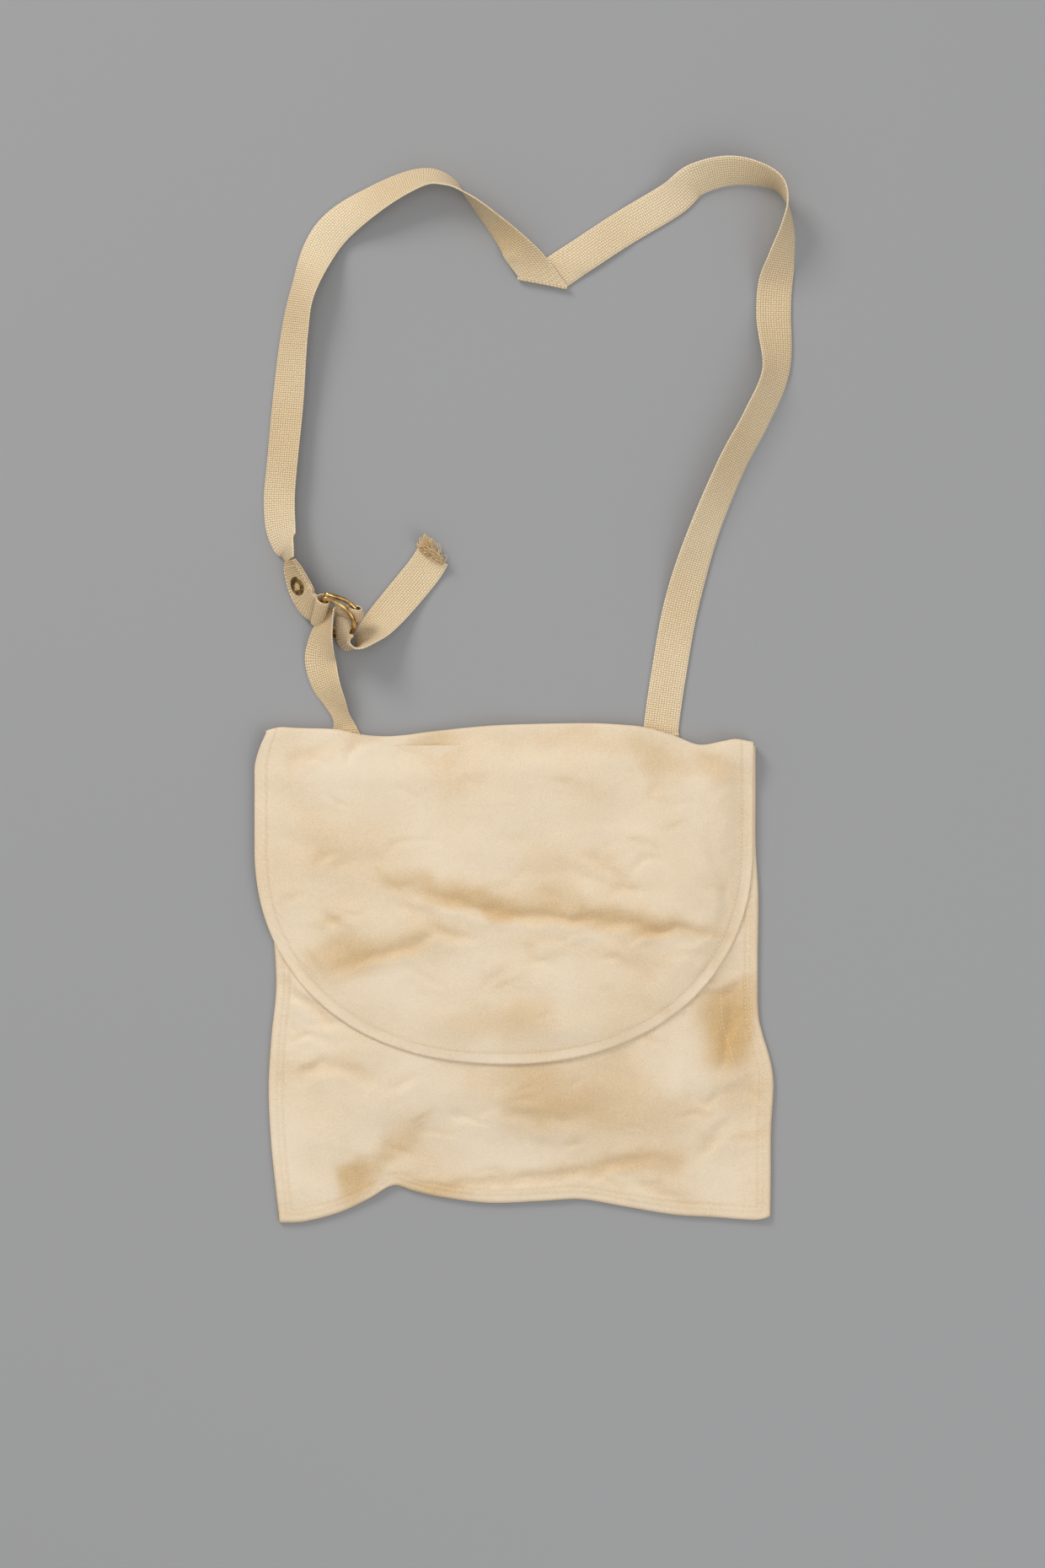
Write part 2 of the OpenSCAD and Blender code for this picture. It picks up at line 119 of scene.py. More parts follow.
FLOOR_HALF = 6.0
FLOOR_Z = -0.0004
floor_corners = np.array([[-1, -1], [1, -1], [1, 1], [-1, 1]], float) * FLOOR_HALF
floor = set_mesh("studio_floor", np.c_[floor_corners, np.full(4, FLOOR_Z)], [(0, 1, 2, 3)])
floor.data.materials.append(plain_finish("pale_floor", (0.33, 0.33, 0.33, 1), 0.9))

# ---------------------------------------------------------------------------
# Shared cloth finish: a plain weave, its warp and weft threads passing over and
# under each other, and cotton that has yellowed unevenly over time. The same tint
# towards the yellowed colour also carries painted shade and highlight, given per point.
# ---------------------------------------------------------------------------


def new_group(name, inputs, outputs):
    """An empty shader node group with its sockets, and its input and output nodes."""
    group = bpy.data.node_groups.new(name, "ShaderNodeTree")
    for word, kind in inputs:
        group.interface.new_socket(word, in_out="INPUT", socket_type=kind)
    for word, kind in outputs:
        group.interface.new_socket(word, in_out="OUTPUT", socket_type=kind)
    start = group.nodes.new("NodeGroupInput")
    end = group.nodes.new("NodeGroupOutput")
    return group, start, end


def node(tree, kind, values=None, **settings):
    """A new node in a tree, with its settings, and its input sockets set or linked."""
    made = tree.nodes.new(kind)
    for word, value in settings.items():
        setattr(made, word, value)
    for key, value in (values or {}).items():
        if isinstance(value, bpy.types.NodeSocket):
            tree.links.new(value, made.inputs[key])
        else:
            made.inputs[key].default_value = value
    return made


def math_node(tree, operation, a, b=0.0):
    """The output of a Math node of two values."""
    return node(tree, "ShaderNodeMath", {0: a, 1: b}, operation=operation).outputs[0]


weave_group, weave_in, weave_out = new_group(
    "plain_weave",
    [("Across", "NodeSocketFloat"), ("Along", "NodeSocketFloat"), ("Warp Pitch", "NodeSocketFloat"),
     ("Weft Pitch", "NodeSocketFloat")],
    [("Height", "NodeSocketFloat"), ("Gap", "NodeSocketFloat")])
u_turn = math_node(weave_group, "DIVIDE", weave_in.outputs["Across"], weave_in.outputs["Warp Pitch"])
v_turn = math_node(weave_group, "DIVIDE", weave_in.outputs["Along"], weave_in.outputs["Weft Pitch"])
u_sine = math_node(weave_group, "SINE", math_node(weave_group, "MULTIPLY", u_turn, math.pi))
v_sine = math_node(weave_group, "SINE", math_node(weave_group, "MULTIPLY", v_turn, math.pi))
bead = math_node(weave_group, "MULTIPLY", u_sine, v_sine)
u_round = math_node(weave_group, "ABSOLUTE", u_sine)
v_round = math_node(weave_group, "ABSOLUTE", v_sine)
over = math_node(weave_group, "MULTIPLY", math_node(weave_group, "ADD", bead, 1.0), 0.5)
hump = math_node(weave_group, "POWER", math_node(weave_group, "MULTIPLY", u_round, v_round), 0.5)
weave_group.links.new(
    math_node(weave_group, "ADD", math_node(weave_group, "MULTIPLY", over, 0.35), hump),
    weave_out.inputs["Height"])
weave_group.links.new(math_node(weave_group, "SUBTRACT", 1.0, hump), weave_out.inputs["Gap"])

# Tint of all the cloth: Amount, with random clouds and grain, mixes the fresh colour towards the aged
# one. Amount carries both yellowing and painted shade and highlight.
age_and_shade_group, age_and_shade_in, age_and_shade_out = new_group(
    "aged_and_shaded_cotton",
    [("Fresh", "NodeSocketColor"), ("Aged And Shaded", "NodeSocketColor"), ("Amount", "NodeSocketFloat"),
     ("Place", "NodeSocketVector"), ("Fleck", "NodeSocketFloat")],
    [("Color", "NodeSocketColor"), ("Fluff", "NodeSocketFloat")])
clouds = node(age_and_shade_group, "ShaderNodeTexNoise",
              {"Vector": age_and_shade_in.outputs["Place"], "Scale": 9.0, "Detail": 5.0, "Roughness": 0.6})
cloud_part = math_node(age_and_shade_group, "MULTIPLY",
                       math_node(age_and_shade_group, "SUBTRACT", clouds.outputs["Fac"], 0.5), 0.55)
grain = node(age_and_shade_group, "ShaderNodeTexNoise",
             {"Vector": age_and_shade_in.outputs["Place"], "Scale": 900.0, "Detail": 3.0, "Roughness": 0.7})
grain_part = math_node(age_and_shade_group, "MULTIPLY",
                       math_node(age_and_shade_group, "SUBTRACT", grain.outputs["Fac"], 0.5),
                       age_and_shade_in.outputs["Fleck"])
amount = math_node(age_and_shade_group, "ADD", age_and_shade_in.outputs["Amount"],
                   math_node(age_and_shade_group, "ADD", cloud_part, grain_part))
tint = node(age_and_shade_group, "ShaderNodeMix", {"Factor": amount}, data_type="RGBA", clamp_factor=True)
age_and_shade_group.links.new(age_and_shade_in.outputs["Fresh"], tint.inputs[6])
age_and_shade_group.links.new(age_and_shade_in.outputs["Aged And Shaded"], tint.inputs[7])
age_and_shade_group.links.new(tint.outputs[2], age_and_shade_out.inputs["Color"])
age_and_shade_group.links.new(grain.outputs["Fac"], age_and_shade_out.inputs["Fluff"])


def linear(red, green, blue):
    """A colour given in display values from 0 to 255, as the linear values that shaders take."""
    c = np.array([red, green, blue]) / 255.0
    c = np.where(c <= 0.04045, c / 12.92, ((c + 0.055) / 1.055) ** 2.4)
    return (float(c[0]), float(c[1]), float(c[2]), 1.0)


def cloth_finish(name, fresh, aged_and_shaded, pitch, amount=None, fleck=0.35, strength=0.5, uv=None,
                 height=0.0002, roughness=0.92, gap_shade=0.3, crumple=0.0):
    """A woven cotton finish. pitch is the warp's and the weft's spacing in metres. uv names a
    UV map in metres; without it the weave lies in the object's X and Y. amount names a point
    attribute that gives how far each place is tinted towards the aged colour, by yellowing and
    by painted shade and highlight; the gaps between the threads are tinted the same way as
    painted shade. crumple is the height in metres of small wrinkles, wider than the weave."""
    material = bpy.data.materials.new(name)
    material.use_nodes = True
    tree = material.node_tree
    shader = tree.nodes["Principled BSDF"]
    place = node(tree, "ShaderNodeTexCoord").outputs["Object"]
    if uv:
        weave_place = node(tree, "ShaderNodeUVMap", uv_map=uv).outputs["UV"]
    else:
        weave_place = place
    parts = node(tree, "ShaderNodeSeparateXYZ", {0: weave_place})
    weave = node(tree, "ShaderNodeGroup", node_tree=weave_group)
    tree.links.new(parts.outputs["Y"], weave.inputs["Across"])
    tree.links.new(parts.outputs["X"], weave.inputs["Along"])
    weave.inputs["Warp Pitch"].default_value = pitch[0]
    weave.inputs["Weft Pitch"].default_value = pitch[1]
    age_and_shade_mix = node(tree, "ShaderNodeGroup", {}, node_tree=age_and_shade_group)
    age_and_shade_mix.inputs["Fresh"].default_value = fresh
    age_and_shade_mix.inputs["Aged And Shaded"].default_value = aged_and_shaded
    age_and_shade_mix.inputs["Fleck"].default_value = fleck
    tree.links.new(place, age_and_shade_mix.inputs["Place"])
    known = node(tree, "ShaderNodeAttribute", attribute_name=amount).outputs["Fac"] if amount else 0.12
    # Painted shade: the gaps between the threads are tinted darker.
    shade_in_gaps = math_node(tree, "MULTIPLY", weave.outputs["Gap"], gap_shade)
    tree.links.new(math_node(tree, "ADD", known, shade_in_gaps), age_and_shade_mix.inputs["Amount"])
    tree.links.new(age_and_shade_mix.outputs["Color"], shader.inputs["Base Color"])
    rough = math_node(tree, "ADD", weave.outputs["Height"],
                      math_node(tree, "MULTIPLY", age_and_shade_mix.outputs["Fluff"], 0.6))
    bump = node(tree, "ShaderNodeBump", {"Height": rough, "Distance": height, "Strength": strength})
    if crumple:
        folds = node(tree, "ShaderNodeTexNoise", {"Vector": place, "Scale": 42.0, "Detail": 6.0,
                                                  "Roughness": 0.62, "Distortion": 0.25})
        wrinkled = node(tree, "ShaderNodeBump", {"Height": folds.outputs["Fac"], "Distance": crumple,
                                                 "Strength": 1.0})
        tree.links.new(wrinkled.outputs["Normal"], bump.inputs["Normal"])
    tree.links.new(bump.outputs["Normal"], shader.inputs["Normal"])
    shader.inputs["Roughness"].default_value = roughness
    shader.inputs["Sheen Weight"].default_value = 0.15
    shader.inputs["Specular IOR Level"].default_value = 0.25
    return material


# ---------------------------------------------------------------------------
# Shoulder strap: one length of 1 inch unbleached cotton webbing, sewn to the
# back of the bag and thrown up in a loose, twisting loop that is folded flat
# once at its middle.
# ---------------------------------------------------------------------------
WEB_W = 0.0254
WEB_T = 0.0015
LIE = 0.0001
MM = 0.001
fold_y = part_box("flap_fold")[1][1]

# x, distance past the bag's fold, tilt in degrees, lift, share of the width, and slant
SHOULDER_RIGHT = np.array([
    [106, -8, 0, 0, 1, 0], [106, 1, 0, 0, 1, 0], [111, 36, 0, 0, 1, 0],
    [120, 86, 5, 0, 1, 0], [135, 137, 28, 0, 1, 0], [156, 188, 36, 0, 1, 0],
    [174, 222, 38, 0, 1, 0], [188, 256, 36, 0, 1, 0], [187, 296, 6, 0, 1, 0],
    [188, 318, 10, 0, 1, 0], [192, 338, 40, 0, 1, 0], [196, 358, 64, 0, 1, 0],
    [196, 378, 88, 0, 1, 0], [186, 393, 110, 0, 1, 0], [158, 400, 136, 0, 1, 0],
    [131, 394, 150, 0, 1, 0], [113, 380, 168, 0, 1, 0], [79, 360, 180, 0, 1, 0],
    [50, 341, 182, 0, 1, 0.15], [34, 330.5, 181, 0, 1, 0.75], [20, 321, 180, 0, 1, 1]], float)
SHOULDER_LEFT = np.array([
    [20, 321, 360, 3.2, 1, 1], [11, 333, 350, 2.8, 1, 0.8], [1, 345, 318, 1.2, 1, 0.25],
    [-13, 360, 298, 0, 1, 0], [-31, 378, 276, 0, 1, 0],
    [-48, 392, 246, 0, 1, 0], [-68, 395, 230, 0, 1, 0], [-101, 380, 212, 0, 1, 0],
    [-134, 355, 188, 0, 1, 0], [-152, 316, 220, 0, 1, 0], [-159, 283, 216, 0, 1, 0],
    [-164, 232, 204, 0, 1, 0], [-168, 190, 206, 0, 1, 0], [-170, 168, 204, 0, 1, 0],
    [-170, 154, 205, 0, 1, 0], [-169, 143, 208, 0, 1, 0], [-166.5, 133, 220, 0, 1, 0],
    [-164, 126, 242, 0, 1, 0], [-162, 119, 254, 0, 1, 0]], float)
CREASE_SIDE = np.array([-0.982, 0.19, 0.0]) * 1.44     # half the crease, in half widths
CREASE_OUT = np.array([-0.19, -0.982, 0.0])           # away from the webbing, over the crease
CREASE_R = 1.6 * MM


def smooth_route(points, steps):
    """A Catmull-Rom spline: every column runs smoothly through the points, with steps
    pieces from each point to the next."""
    n = len(points)
    s = np.linspace(0, n - 1, (n - 1) * steps + 1)
    i = np.minimum(s.astype(int), n - 2)
    t = (s - i)[:, None]
    a, b, c, d = (points[np.clip(i + k, 0, n - 1)] for k in (-1, 0, 1, 2))
    return 0.5 * (2 * b + (c - a) * t + (2 * a - 5 * b + 4 * c - d) * t ** 2
                  + (3 * b - a - 3 * c + d) * t ** 3)


def unit(v):
    """Every row of v divided by its length."""
    return v / np.maximum(np.linalg.norm(v, axis=-1, keepdims=True), 1e-12)


def run_along(points):
    """How far each point of a line is from its first, along the line."""
    return np.r_[0, np.cumsum(np.linalg.norm(np.diff(points, axis=0), axis=1))]


def lay_webbing(route, thick=WEB_T):
    """Centres, sideways vectors and widths of webbing laid on the floor. The height is half
    the tilted width plus half the tilted thickness, so the lower edge touches the floor. Where
    the slant is 1 the sideways vector is the flat crease's own."""
    tilt = np.radians(route[:, 2])
    width = WEB_W * route[:, 4]
    z = LIE + MM * route[:, 3] + width / 2 * abs(np.sin(tilt)) + thick / 2 * abs(np.cos(tilt))
    centre = np.c_[route[:, 0] * MM, fold_y + route[:, 1] * MM, z]
    along = unit(np.gradient(centre, axis=0))
    level = unit(np.cross([0.0, 0.0, 1.0], along))
    up = np.cross(along, level)
    side = level * np.cos(tilt)[:, None] + up * np.sin(tilt)[:, None]
    if route.shape[1] > 5:
        slant = np.clip(route[:, 5:6], 0, 1)
        side = side * (1 - slant) + CREASE_SIDE * slant
    return centre, side, width


def webbing_mesh(name, centre, side, width, thick=WEB_T, cup=0.0, lanes=12):
    """A closed flat tube: each ring is a flattened oval, level in the middle and a little
    thicker at the two woven edges, bowed by cup. Its UV map is in metres, along the webbing and
    across it."""
    along = unit(np.gradient(centre, axis=0))
    face = unit(np.cross(along, side))
    v = np.cos(np.linspace(0, np.pi, lanes + 1))
    edge_bead = 1 + 0.25 * np.exp(-((abs(v) - 0.93) / 0.06) ** 2)
    half = thick / 2 * np.sqrt(np.clip(1 - v ** 10, 0, 1)) * edge_bead
    v_ring = np.r_[v, v[-2:0:-1]]
    h_ring = np.r_[half, -half[-2:0:-1]]
    bow = np.broadcast_to(cup, (len(centre),))[:, None] * (v_ring ** 2 - 0.4)[None, :]
    points = (centre[:, None, :] + side[:, None, :] * (width[:, None] / 2 * v_ring)[:, :, None]
              + face[:, None, :] * (h_ring[None, :] + bow)[:, :, None])
    rings, m = points.shape[:2]
    i = np.arange(rings - 1)[:, None]
    j = np.arange(m)[None, :]
    k = (j + 1) % m
    faces = np.stack([i * m + j, i * m + k, (i + 1) * m + k, (i + 1) * m + j], -1).reshape(-1, 4)
    caps = [tuple(range(m - 1, -1, -1)), tuple(range((rings - 1) * m, rings * m))]
    obj = set_mesh(name, points.reshape(-1, 3), [tuple(f) for f in faces.tolist()] + caps)
    run = run_along(centre)
    uv = np.stack([np.broadcast_to(run[:, None], (rings, m)),
                   WEB_W / 2 * np.broadcast_to(v_ring, (rings, m))], -1).reshape(-1, 2)
    corner = np.empty(len(obj.data.loops), np.int32)
    obj.data.loops.foreach_get("vertex_index", corner)
    layer = obj.data.uv_layers.new(name="weave")
    layer.data.foreach_set("uv", uv[corner].astype(np.float32).ravel())
    return obj


def facing_out(obj):
    """Turns a closed mesh's faces over if its volume comes out negative."""
    mesh = obj.data
    mesh.calc_loop_triangles()
    points = np.empty(len(mesh.vertices) * 3, np.float32)
    mesh.vertices.foreach_get("co", points)
    corners = np.empty(len(mesh.loop_triangles) * 3, np.int32)
    mesh.loop_triangles.foreach_get("vertices", corners)
    a, b, c = points.reshape(-1, 3)[corners.reshape(-1, 3)].transpose(1, 0, 2).astype(float)
    if np.einsum("ij,ij->", a, np.cross(b, c)) < 0:
        mesh.flip_normals()
    return obj


def point_values(obj, name, values):
    """Stores one number for every point of a mesh."""
    layer = obj.data.attributes.new(name, "FLOAT", "POINT")
    layer.data.foreach_set("value", np.asarray(values, np.float32).ravel())


WEB_FRESH = linear(250, 229, 192)
WEB_AGED_AND_SHADED = linear(198, 160, 100)
webbing_finish = cloth_finish("cotton_webbing", WEB_FRESH, WEB_AGED_AND_SHADED, (0.0019, 0.0016), amount="age_and_painted_light",
                              fleck=0.4, strength=1.0, uv="weave", height=0.0006, gap_shade=0.6)


def web_age_and_light(obj, centre, side, bias=-0.02):
    """Tint of webbing: painted shade where it stands on edge, yellowing in slow patches along it,
    and painted highlight that makes it paler along the two woven edges."""
    m = len(obj.data.vertices) // len(centre)
    steep = abs(side[:, 2]) / np.linalg.norm(side, axis=1)
    run = run_along(centre)
    slow = 0.10 * np.sin(run * 21.0 + 1.0) + 0.07 * np.sin(run * 57.0 + 2.0)
    lane = np.cos(np.linspace(0, np.pi, m // 2 + 1))
    lane = np.r_[lane, lane[-2:0:-1]]
    pale = 0.22 * np.exp(-((abs(lane) - 1.0) / 0.07) ** 2)
    # Painted shade where the webbing stands on edge, and painted highlight along its woven edges.
    point_values(obj, "age_and_painted_light", (bias + 0.24 * steep + slow)[:, None] - pale[None, :])


right_arm = smooth_route(SHOULDER_RIGHT, 12)
left_arm = smooth_route(SHOULDER_LEFT, 12)
right_centre, right_side, right_width = lay_webbing(right_arm)
left_centre, left_side, left_width = lay_webbing(left_arm)
turn = np.linspace(0, np.pi, 13)[1:-1, None]
low, high = right_centre[-1], left_centre[0]
crease_centre = ((low + high) / 2 - (high - low) / 2 * np.cos(turn)
                 + CREASE_OUT * CREASE_R * np.sin(turn))
strap_centre = np.r_[right_centre, crease_centre, left_centre]
strap_side = np.r_[right_side, np.tile(CREASE_SIDE, (len(turn), 1)), left_side]
strap_width = np.r_[right_width, np.full(len(turn), WEB_W), left_width]
shoulder_strap = facing_out(webbing_mesh("shoulder_webbing", strap_centre, strap_side, strap_width,
                                         cup=0.0003))
web_age_and_light(shoulder_strap, strap_centre, strap_side)
shoulder_strap.data.materials.append(webbing_finish)
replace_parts(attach(shoulder_strap, "bag"), "shoulder_strap")

# ---------------------------------------------------------------------------
# Buckle end of the strap: the same webbing, folded round the bars of both
# D-rings and sewn back on itself, with a brass eyelet through both layers.
# ---------------------------------------------------------------------------
RING_AT = np.array([-0.1385, fold_y + 0.0825, 0.0142])    # middle of the two bars
RING_YAW = math.radians(-17)
RING_LEAN = math.radians(46)      # the buckle lies on its lower edge, as the strap does
RING_U = np.array([math.cos(RING_YAW), math.sin(RING_YAW), 0.0])
RING_V = np.array([-math.sin(RING_YAW) * math.cos(RING_LEAN),
                   math.cos(RING_YAW) * math.cos(RING_LEAN), math.sin(RING_LEAN)])
RING_N = np.cross(RING_U, RING_V)
BAR_MID = 0.00625
LOWER_BAR = 0.0043
UPPER_BAR = 0.0082
LOOP_R = 0.0034          # from a bar's middle to the middle of the webbing round it
LIP_TOP = (np.array([-0.0050, -0.0024]), np.array([0.0096, 0.0113]))    # where the two layers
LIP_LOW = (np.array([-0.0022, -0.0045]), np.array([0.0018, 0.0033]))    # part round the bars
SQUARE_FROM, SQUARE_OVER = 24, 14.0      # rings over which the doubled end turns square to the bars
DOUBLED = np.array([
    [-162, 119, 74, 0, 1], [-160, 113, 62, 0, 1], [-155.5, 101, 50, 0, 1], [-152, 93.5, 48, 1.2, 1],
    [-148.5, 87.4, 46, 2.8, 1], [-144.2, 84.3, 46, 3.8, 1]], float)


def ring_place(u, v, n):
    """A point given in the rings' own frame: away from the bars, along them, and off the flat
    of the rings."""
    return (RING_AT + RING_U * np.asarray(u, float)[..., None] + RING_V * np.asarray(v, float)[..., None]
            + RING_N * (np.asarray(n, float)[..., None] - BAR_MID))


doubled = smooth_route(DOUBLED, 8)
end_centre, end_side, _ = lay_webbing(doubled, 2 * WEB_T)
square_on = np.clip((np.arange(len(doubled)) - SQUARE_FROM) / SQUARE_OVER, 0, 1)[:, None]
end_side = unit(end_side * (1 - square_on) - RING_V * square_on * np.sign(end_side[-1] @ -RING_V))
end_along = unit(np.gradient(end_centre, axis=0))
end_face = unit(np.cross(end_along, end_side))
end_face *= np.sign(end_face[:, 2:3])
half_gap = WEB_T * 0.53
bend = np.linspace(0, np.pi, 11)
round_top = ring_place(LOOP_R * np.sin(bend[:6]), 0 * bend[:6], UPPER_BAR + LOOP_R * np.cos(bend[:6]))
round_low = ring_place(LOOP_R * np.sin(bend[5:]), 0 * bend[5:], LOWER_BAR + LOOP_R * np.cos(bend[5:]))
end_strip = np.r_[end_centre[:-1] + end_face[:-1] * half_gap,
                  ring_place(LIP_TOP[0], [0, 0], LIP_TOP[1]),
                  round_top, round_low,
                  ring_place(LIP_LOW[0], [0, 0], LIP_LOW[1]),
                  end_centre[-2::-1] - end_face[-2::-1] * half_gap]
flip = np.sign(end_side[-1] @ RING_V)
bar_side = np.tile(RING_V * flip, (len(round_top) + len(round_low) + 4, 1))
end_sides = np.r_[end_side[:-1], bar_side, end_side[-2::-1]]
strap_end = facing_out(webbing_mesh("buckle_end_webbing", end_strip, end_sides,
                                    np.full(len(end_strip), WEB_W)))
web_age_and_light(strap_end, end_strip, end_sides, 0.05)
strap_end.data.materials.append(webbing_finish)
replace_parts(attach(strap_end, "bag"), "strap_end", "ring_loop")

# ---------------------------------------------------------------------------
# Short strap: a second length of the webbing, sewn to the back at the left. It
# is threaded through both D-rings, round the lower one, and back over both.
# ---------------------------------------------------------------------------
BILLET = np.array([
    [-123, -8, 0, 0, 1], [-123.3, 0, 0, 0, 0.64], [-125.5, 8, -18, 0, 0.52],
    [-129.5, 17, -34, 0, 0.74], [-135.7, 29, -36, 0, 1], [-140, 45, -24, 0.5, 1],
    [-139.6, 56, -34, 2, 1], [-137.2, 67, -46, 6.5, 0.92], [-133.5, 76.5, -56, 11, 0.68],
    [-130.3, 84, -66, 15, 0.44]], float)
TAIL = np.array([
    [-124.5, 80, 10, 14.5, 0.42], [-124.2, 76, 16, 14, 0.44], [-124, 71, 24, 11.5, 0.5],
    [-123.5, 66, 32, 8.5, 0.58], [-122.4, 60.5, 52, 4, 0.78], [-119, 56.5, 80, 0.8, 0.95],
    [-111.5, 57, 106, 0, 1], [-102, 69, 148, 0, 1], [-84, 90, 174, 0, 1],
    [-66, 112, 180, 0, 1], [-59, 123, 172, 0, 1]], float)
WRAP_V = 0.0060          # where the webbing's middle crosses the rings' arcs
WRAP_HIGH = 0.0086
WRAP_LOW = 0.0014
WRAP_OUT = 0.0246        # how far from the bars the webbing turns back

billet_in = smooth_route(BILLET, 8)
billet_out = smooth_route(TAIL, 8)
in_centre, in_side, in_width = lay_webbing(billet_in)
out_centre, out_side, out_width = lay_webbing(billet_out)
mid_z, half_z = (WRAP_HIGH + WRAP_LOW) / 2, (WRAP_HIGH - WRAP_LOW) / 2
wrap_turn = np.linspace(0, np.pi, 11)
wrap_u = np.r_[[0.0135, 0.0165, 0.0195, 0.0225], WRAP_OUT + half_z * np.sin(wrap_turn),
               [0.0225, 0.0195, 0.0168]]
wrap_z = np.r_[np.full(4, WRAP_HIGH), mid_z + half_z * np.cos(wrap_turn), np.full(3, WRAP_LOW)]
wrap_centre = ring_place(wrap_u, np.full(len(wrap_u), WRAP_V), wrap_z)
wrap_side = np.tile(RING_V * np.sign(in_side[-1] @ RING_V), (len(wrap_u), 1))
wrap_width = WEB_W * (0.42 + 0.08 * np.sin(np.linspace(0, np.pi, len(wrap_u))))
out_side = out_side * np.sign(out_side[0] @ wrap_side[0])
billet_centre = np.r_[in_centre, wrap_centre, out_centre]
billet_side = unit(np.r_[in_side, wrap_side, out_side])
billet_width = np.r_[in_width, wrap_width, out_width]
spread = np.exp(-np.arange(-6, 7) ** 2 / 6.0)
spread /= spread.sum()
for column in range(3):
    side_padded = np.pad(billet_side[:, column], 6, mode="edge")
    billet_side[:, column] = np.convolve(side_padded, spread, mode="valid")
billet_side = unit(billet_side)
gather = np.clip(1 - billet_width / WEB_W, 0, 1)
billet_strap = facing_out(webbing_mesh("short_webbing", billet_centre, billet_side, billet_width,
                                       cup=0.0004 + 0.004 * gather))
web_age_and_light(billet_strap, billet_centre, billet_side, 0.05)
billet_strap.data.materials.append(webbing_finish)
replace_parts(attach(billet_strap, "bag"), "billet_strap", "billet_wrap", "billet_tail")

# ---------------------------------------------------------------------------
# Frayed end: where the short strap was cut, its warp and weft have come loose
# into a curled brush of crimped yarns.
# ---------------------------------------------------------------------------
YARN_D = 0.0005
YARN_COUNT = 260


def yarn_bundle(name, starts, heads, ends, radius, steps=7, sides=4, curl=0.0025, seed=1):
    """Closed round yarns. Each runs from its start along its head direction and bends to its
    end, with a random curl of that size, as rings of a few sides and a cap at both ends."""
    random = np.random.default_rng(seed)
    n = len(starts)
    t = np.linspace(0, 1, steps + 1)[None, :, None]
    middle = starts + heads
    path = ((1 - t) ** 2 * starts[:, None] + 2 * t * (1 - t) * middle[:, None] + t ** 2 * ends[:, None])
    phase = random.uniform(0, 2 * np.pi, (n, 1, 3))
    rate = random.uniform(3, 9, (n, 1, 3))
    path = path + curl * t * np.sin(phase + rate * t)
    path[..., 2] = np.maximum(path[..., 2], LIE + radius)
    tangent = unit(np.gradient(path, axis=1))
    level = unit(np.cross(tangent, np.array([0.3, 0.2, 1.0])))
    up = np.cross(level, tangent)
    angle = np.linspace(0, 2 * np.pi, sides, endpoint=False)
    rings = (path[:, :, None] + radius * (level[:, :, None] * np.cos(angle)[:, None]
                                          + up[:, :, None] * np.sin(angle)[:, None]))
    points = rings.reshape(-1, 3)
    faces = []
    block = (steps + 1) * sides
    j = np.arange(sides)
    k = (j + 1) % sides
    one = [(r * sides + a, (r + 1) * sides + a, (r + 1) * sides + b, r * sides + b)
           for r in range(steps) for a, b in zip(j.tolist(), k.tolist())]
    one += [tuple(range(sides)), tuple(range(steps * sides + sides - 1, steps * sides - 1, -1))]
    for q in range(n):
        faces += [tuple(v + q * block for v in f) for f in one]
    return facing_out(set_mesh(name, points, faces))


fray_random = np.random.default_rng(7)
cut_end, cut_side = billet_centre[-1], billet_side[-1]
cut_along = unit(billet_centre[-1] - billet_centre[-4])
cut_side = cut_side * np.sign(-cut_side[0])
fray_share = fray_random.beta(2.2, 1.3, (YARN_COUNT, 1))
fray_start = (cut_end + cut_side * (fray_share * 1.9 - 0.95) * WEB_W / 2
              - cut_along * fray_random.uniform(0.0005, 0.004, (YARN_COUNT, 1)))
fray_ball = cut_end + cut_side * WEB_W * 0.36 + cut_along * 0.0052 + np.array([0, 0, 0.0040])
ball_out = unit(fray_random.normal(0, 1, (YARN_COUNT, 3)) + np.array([-0.2, 0.3, 0.5]))
ball_r = fray_random.uniform(0.0028, 0.0066, (YARN_COUNT, 1))
into_ball = 0.35 + 0.65 * fray_share
fray_end = fray_ball * into_ball + (fray_start + cut_along * 0.004) * (1 - into_ball)
fray_end = fray_end + ball_out * ball_r
fray_head = cut_along * 0.0042 + np.array([0, 0, 0.0045]) + fray_random.normal(0, 0.0012, (YARN_COUNT, 3))
frayed_yarn = yarn_bundle("frayed_yarn", fray_start, fray_head, fray_end, YARN_D / 2, curl=0.0013, seed=5)
fray_finish = cloth_finish("frayed_cotton", linear(236, 208, 160), linear(176, 140, 88), (0.0006, 0.0006),
                           fleck=0.9, strength=0.3, gap_shade=0.1)
frayed_yarn.data.materials.append(fray_finish)
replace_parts(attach(frayed_yarn, "bag"), "tail_fray")

# ---------------------------------------------------------------------------
# Sewn strap ends: the last 42 mm of both straps, laid flat under the back and
# stitched to it.
# ---------------------------------------------------------------------------
SEWN_L = 0.042


def sewn_end(name, x, start, side):
    """Webbing lying flat against the back, from its cut end up to where the free strap starts."""
    centre = np.linspace([x, start[1] - SEWN_L, start[2]], start, 12)
    obj = facing_out(webbing_mesh(name, centre, np.tile(side, (12, 1)), np.full(12, WEB_W)))
    web_age_and_light(obj, centre, np.tile(side, (12, 1)), 0.0)
    obj.data.materials.append(webbing_finish)
    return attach(obj, "bag")


sewn_end("right_sewn_webbing", 0.106, strap_centre[0], strap_side[0])
sewn_end("left_sewn_webbing", -0.123, billet_centre[0], billet_side[0])

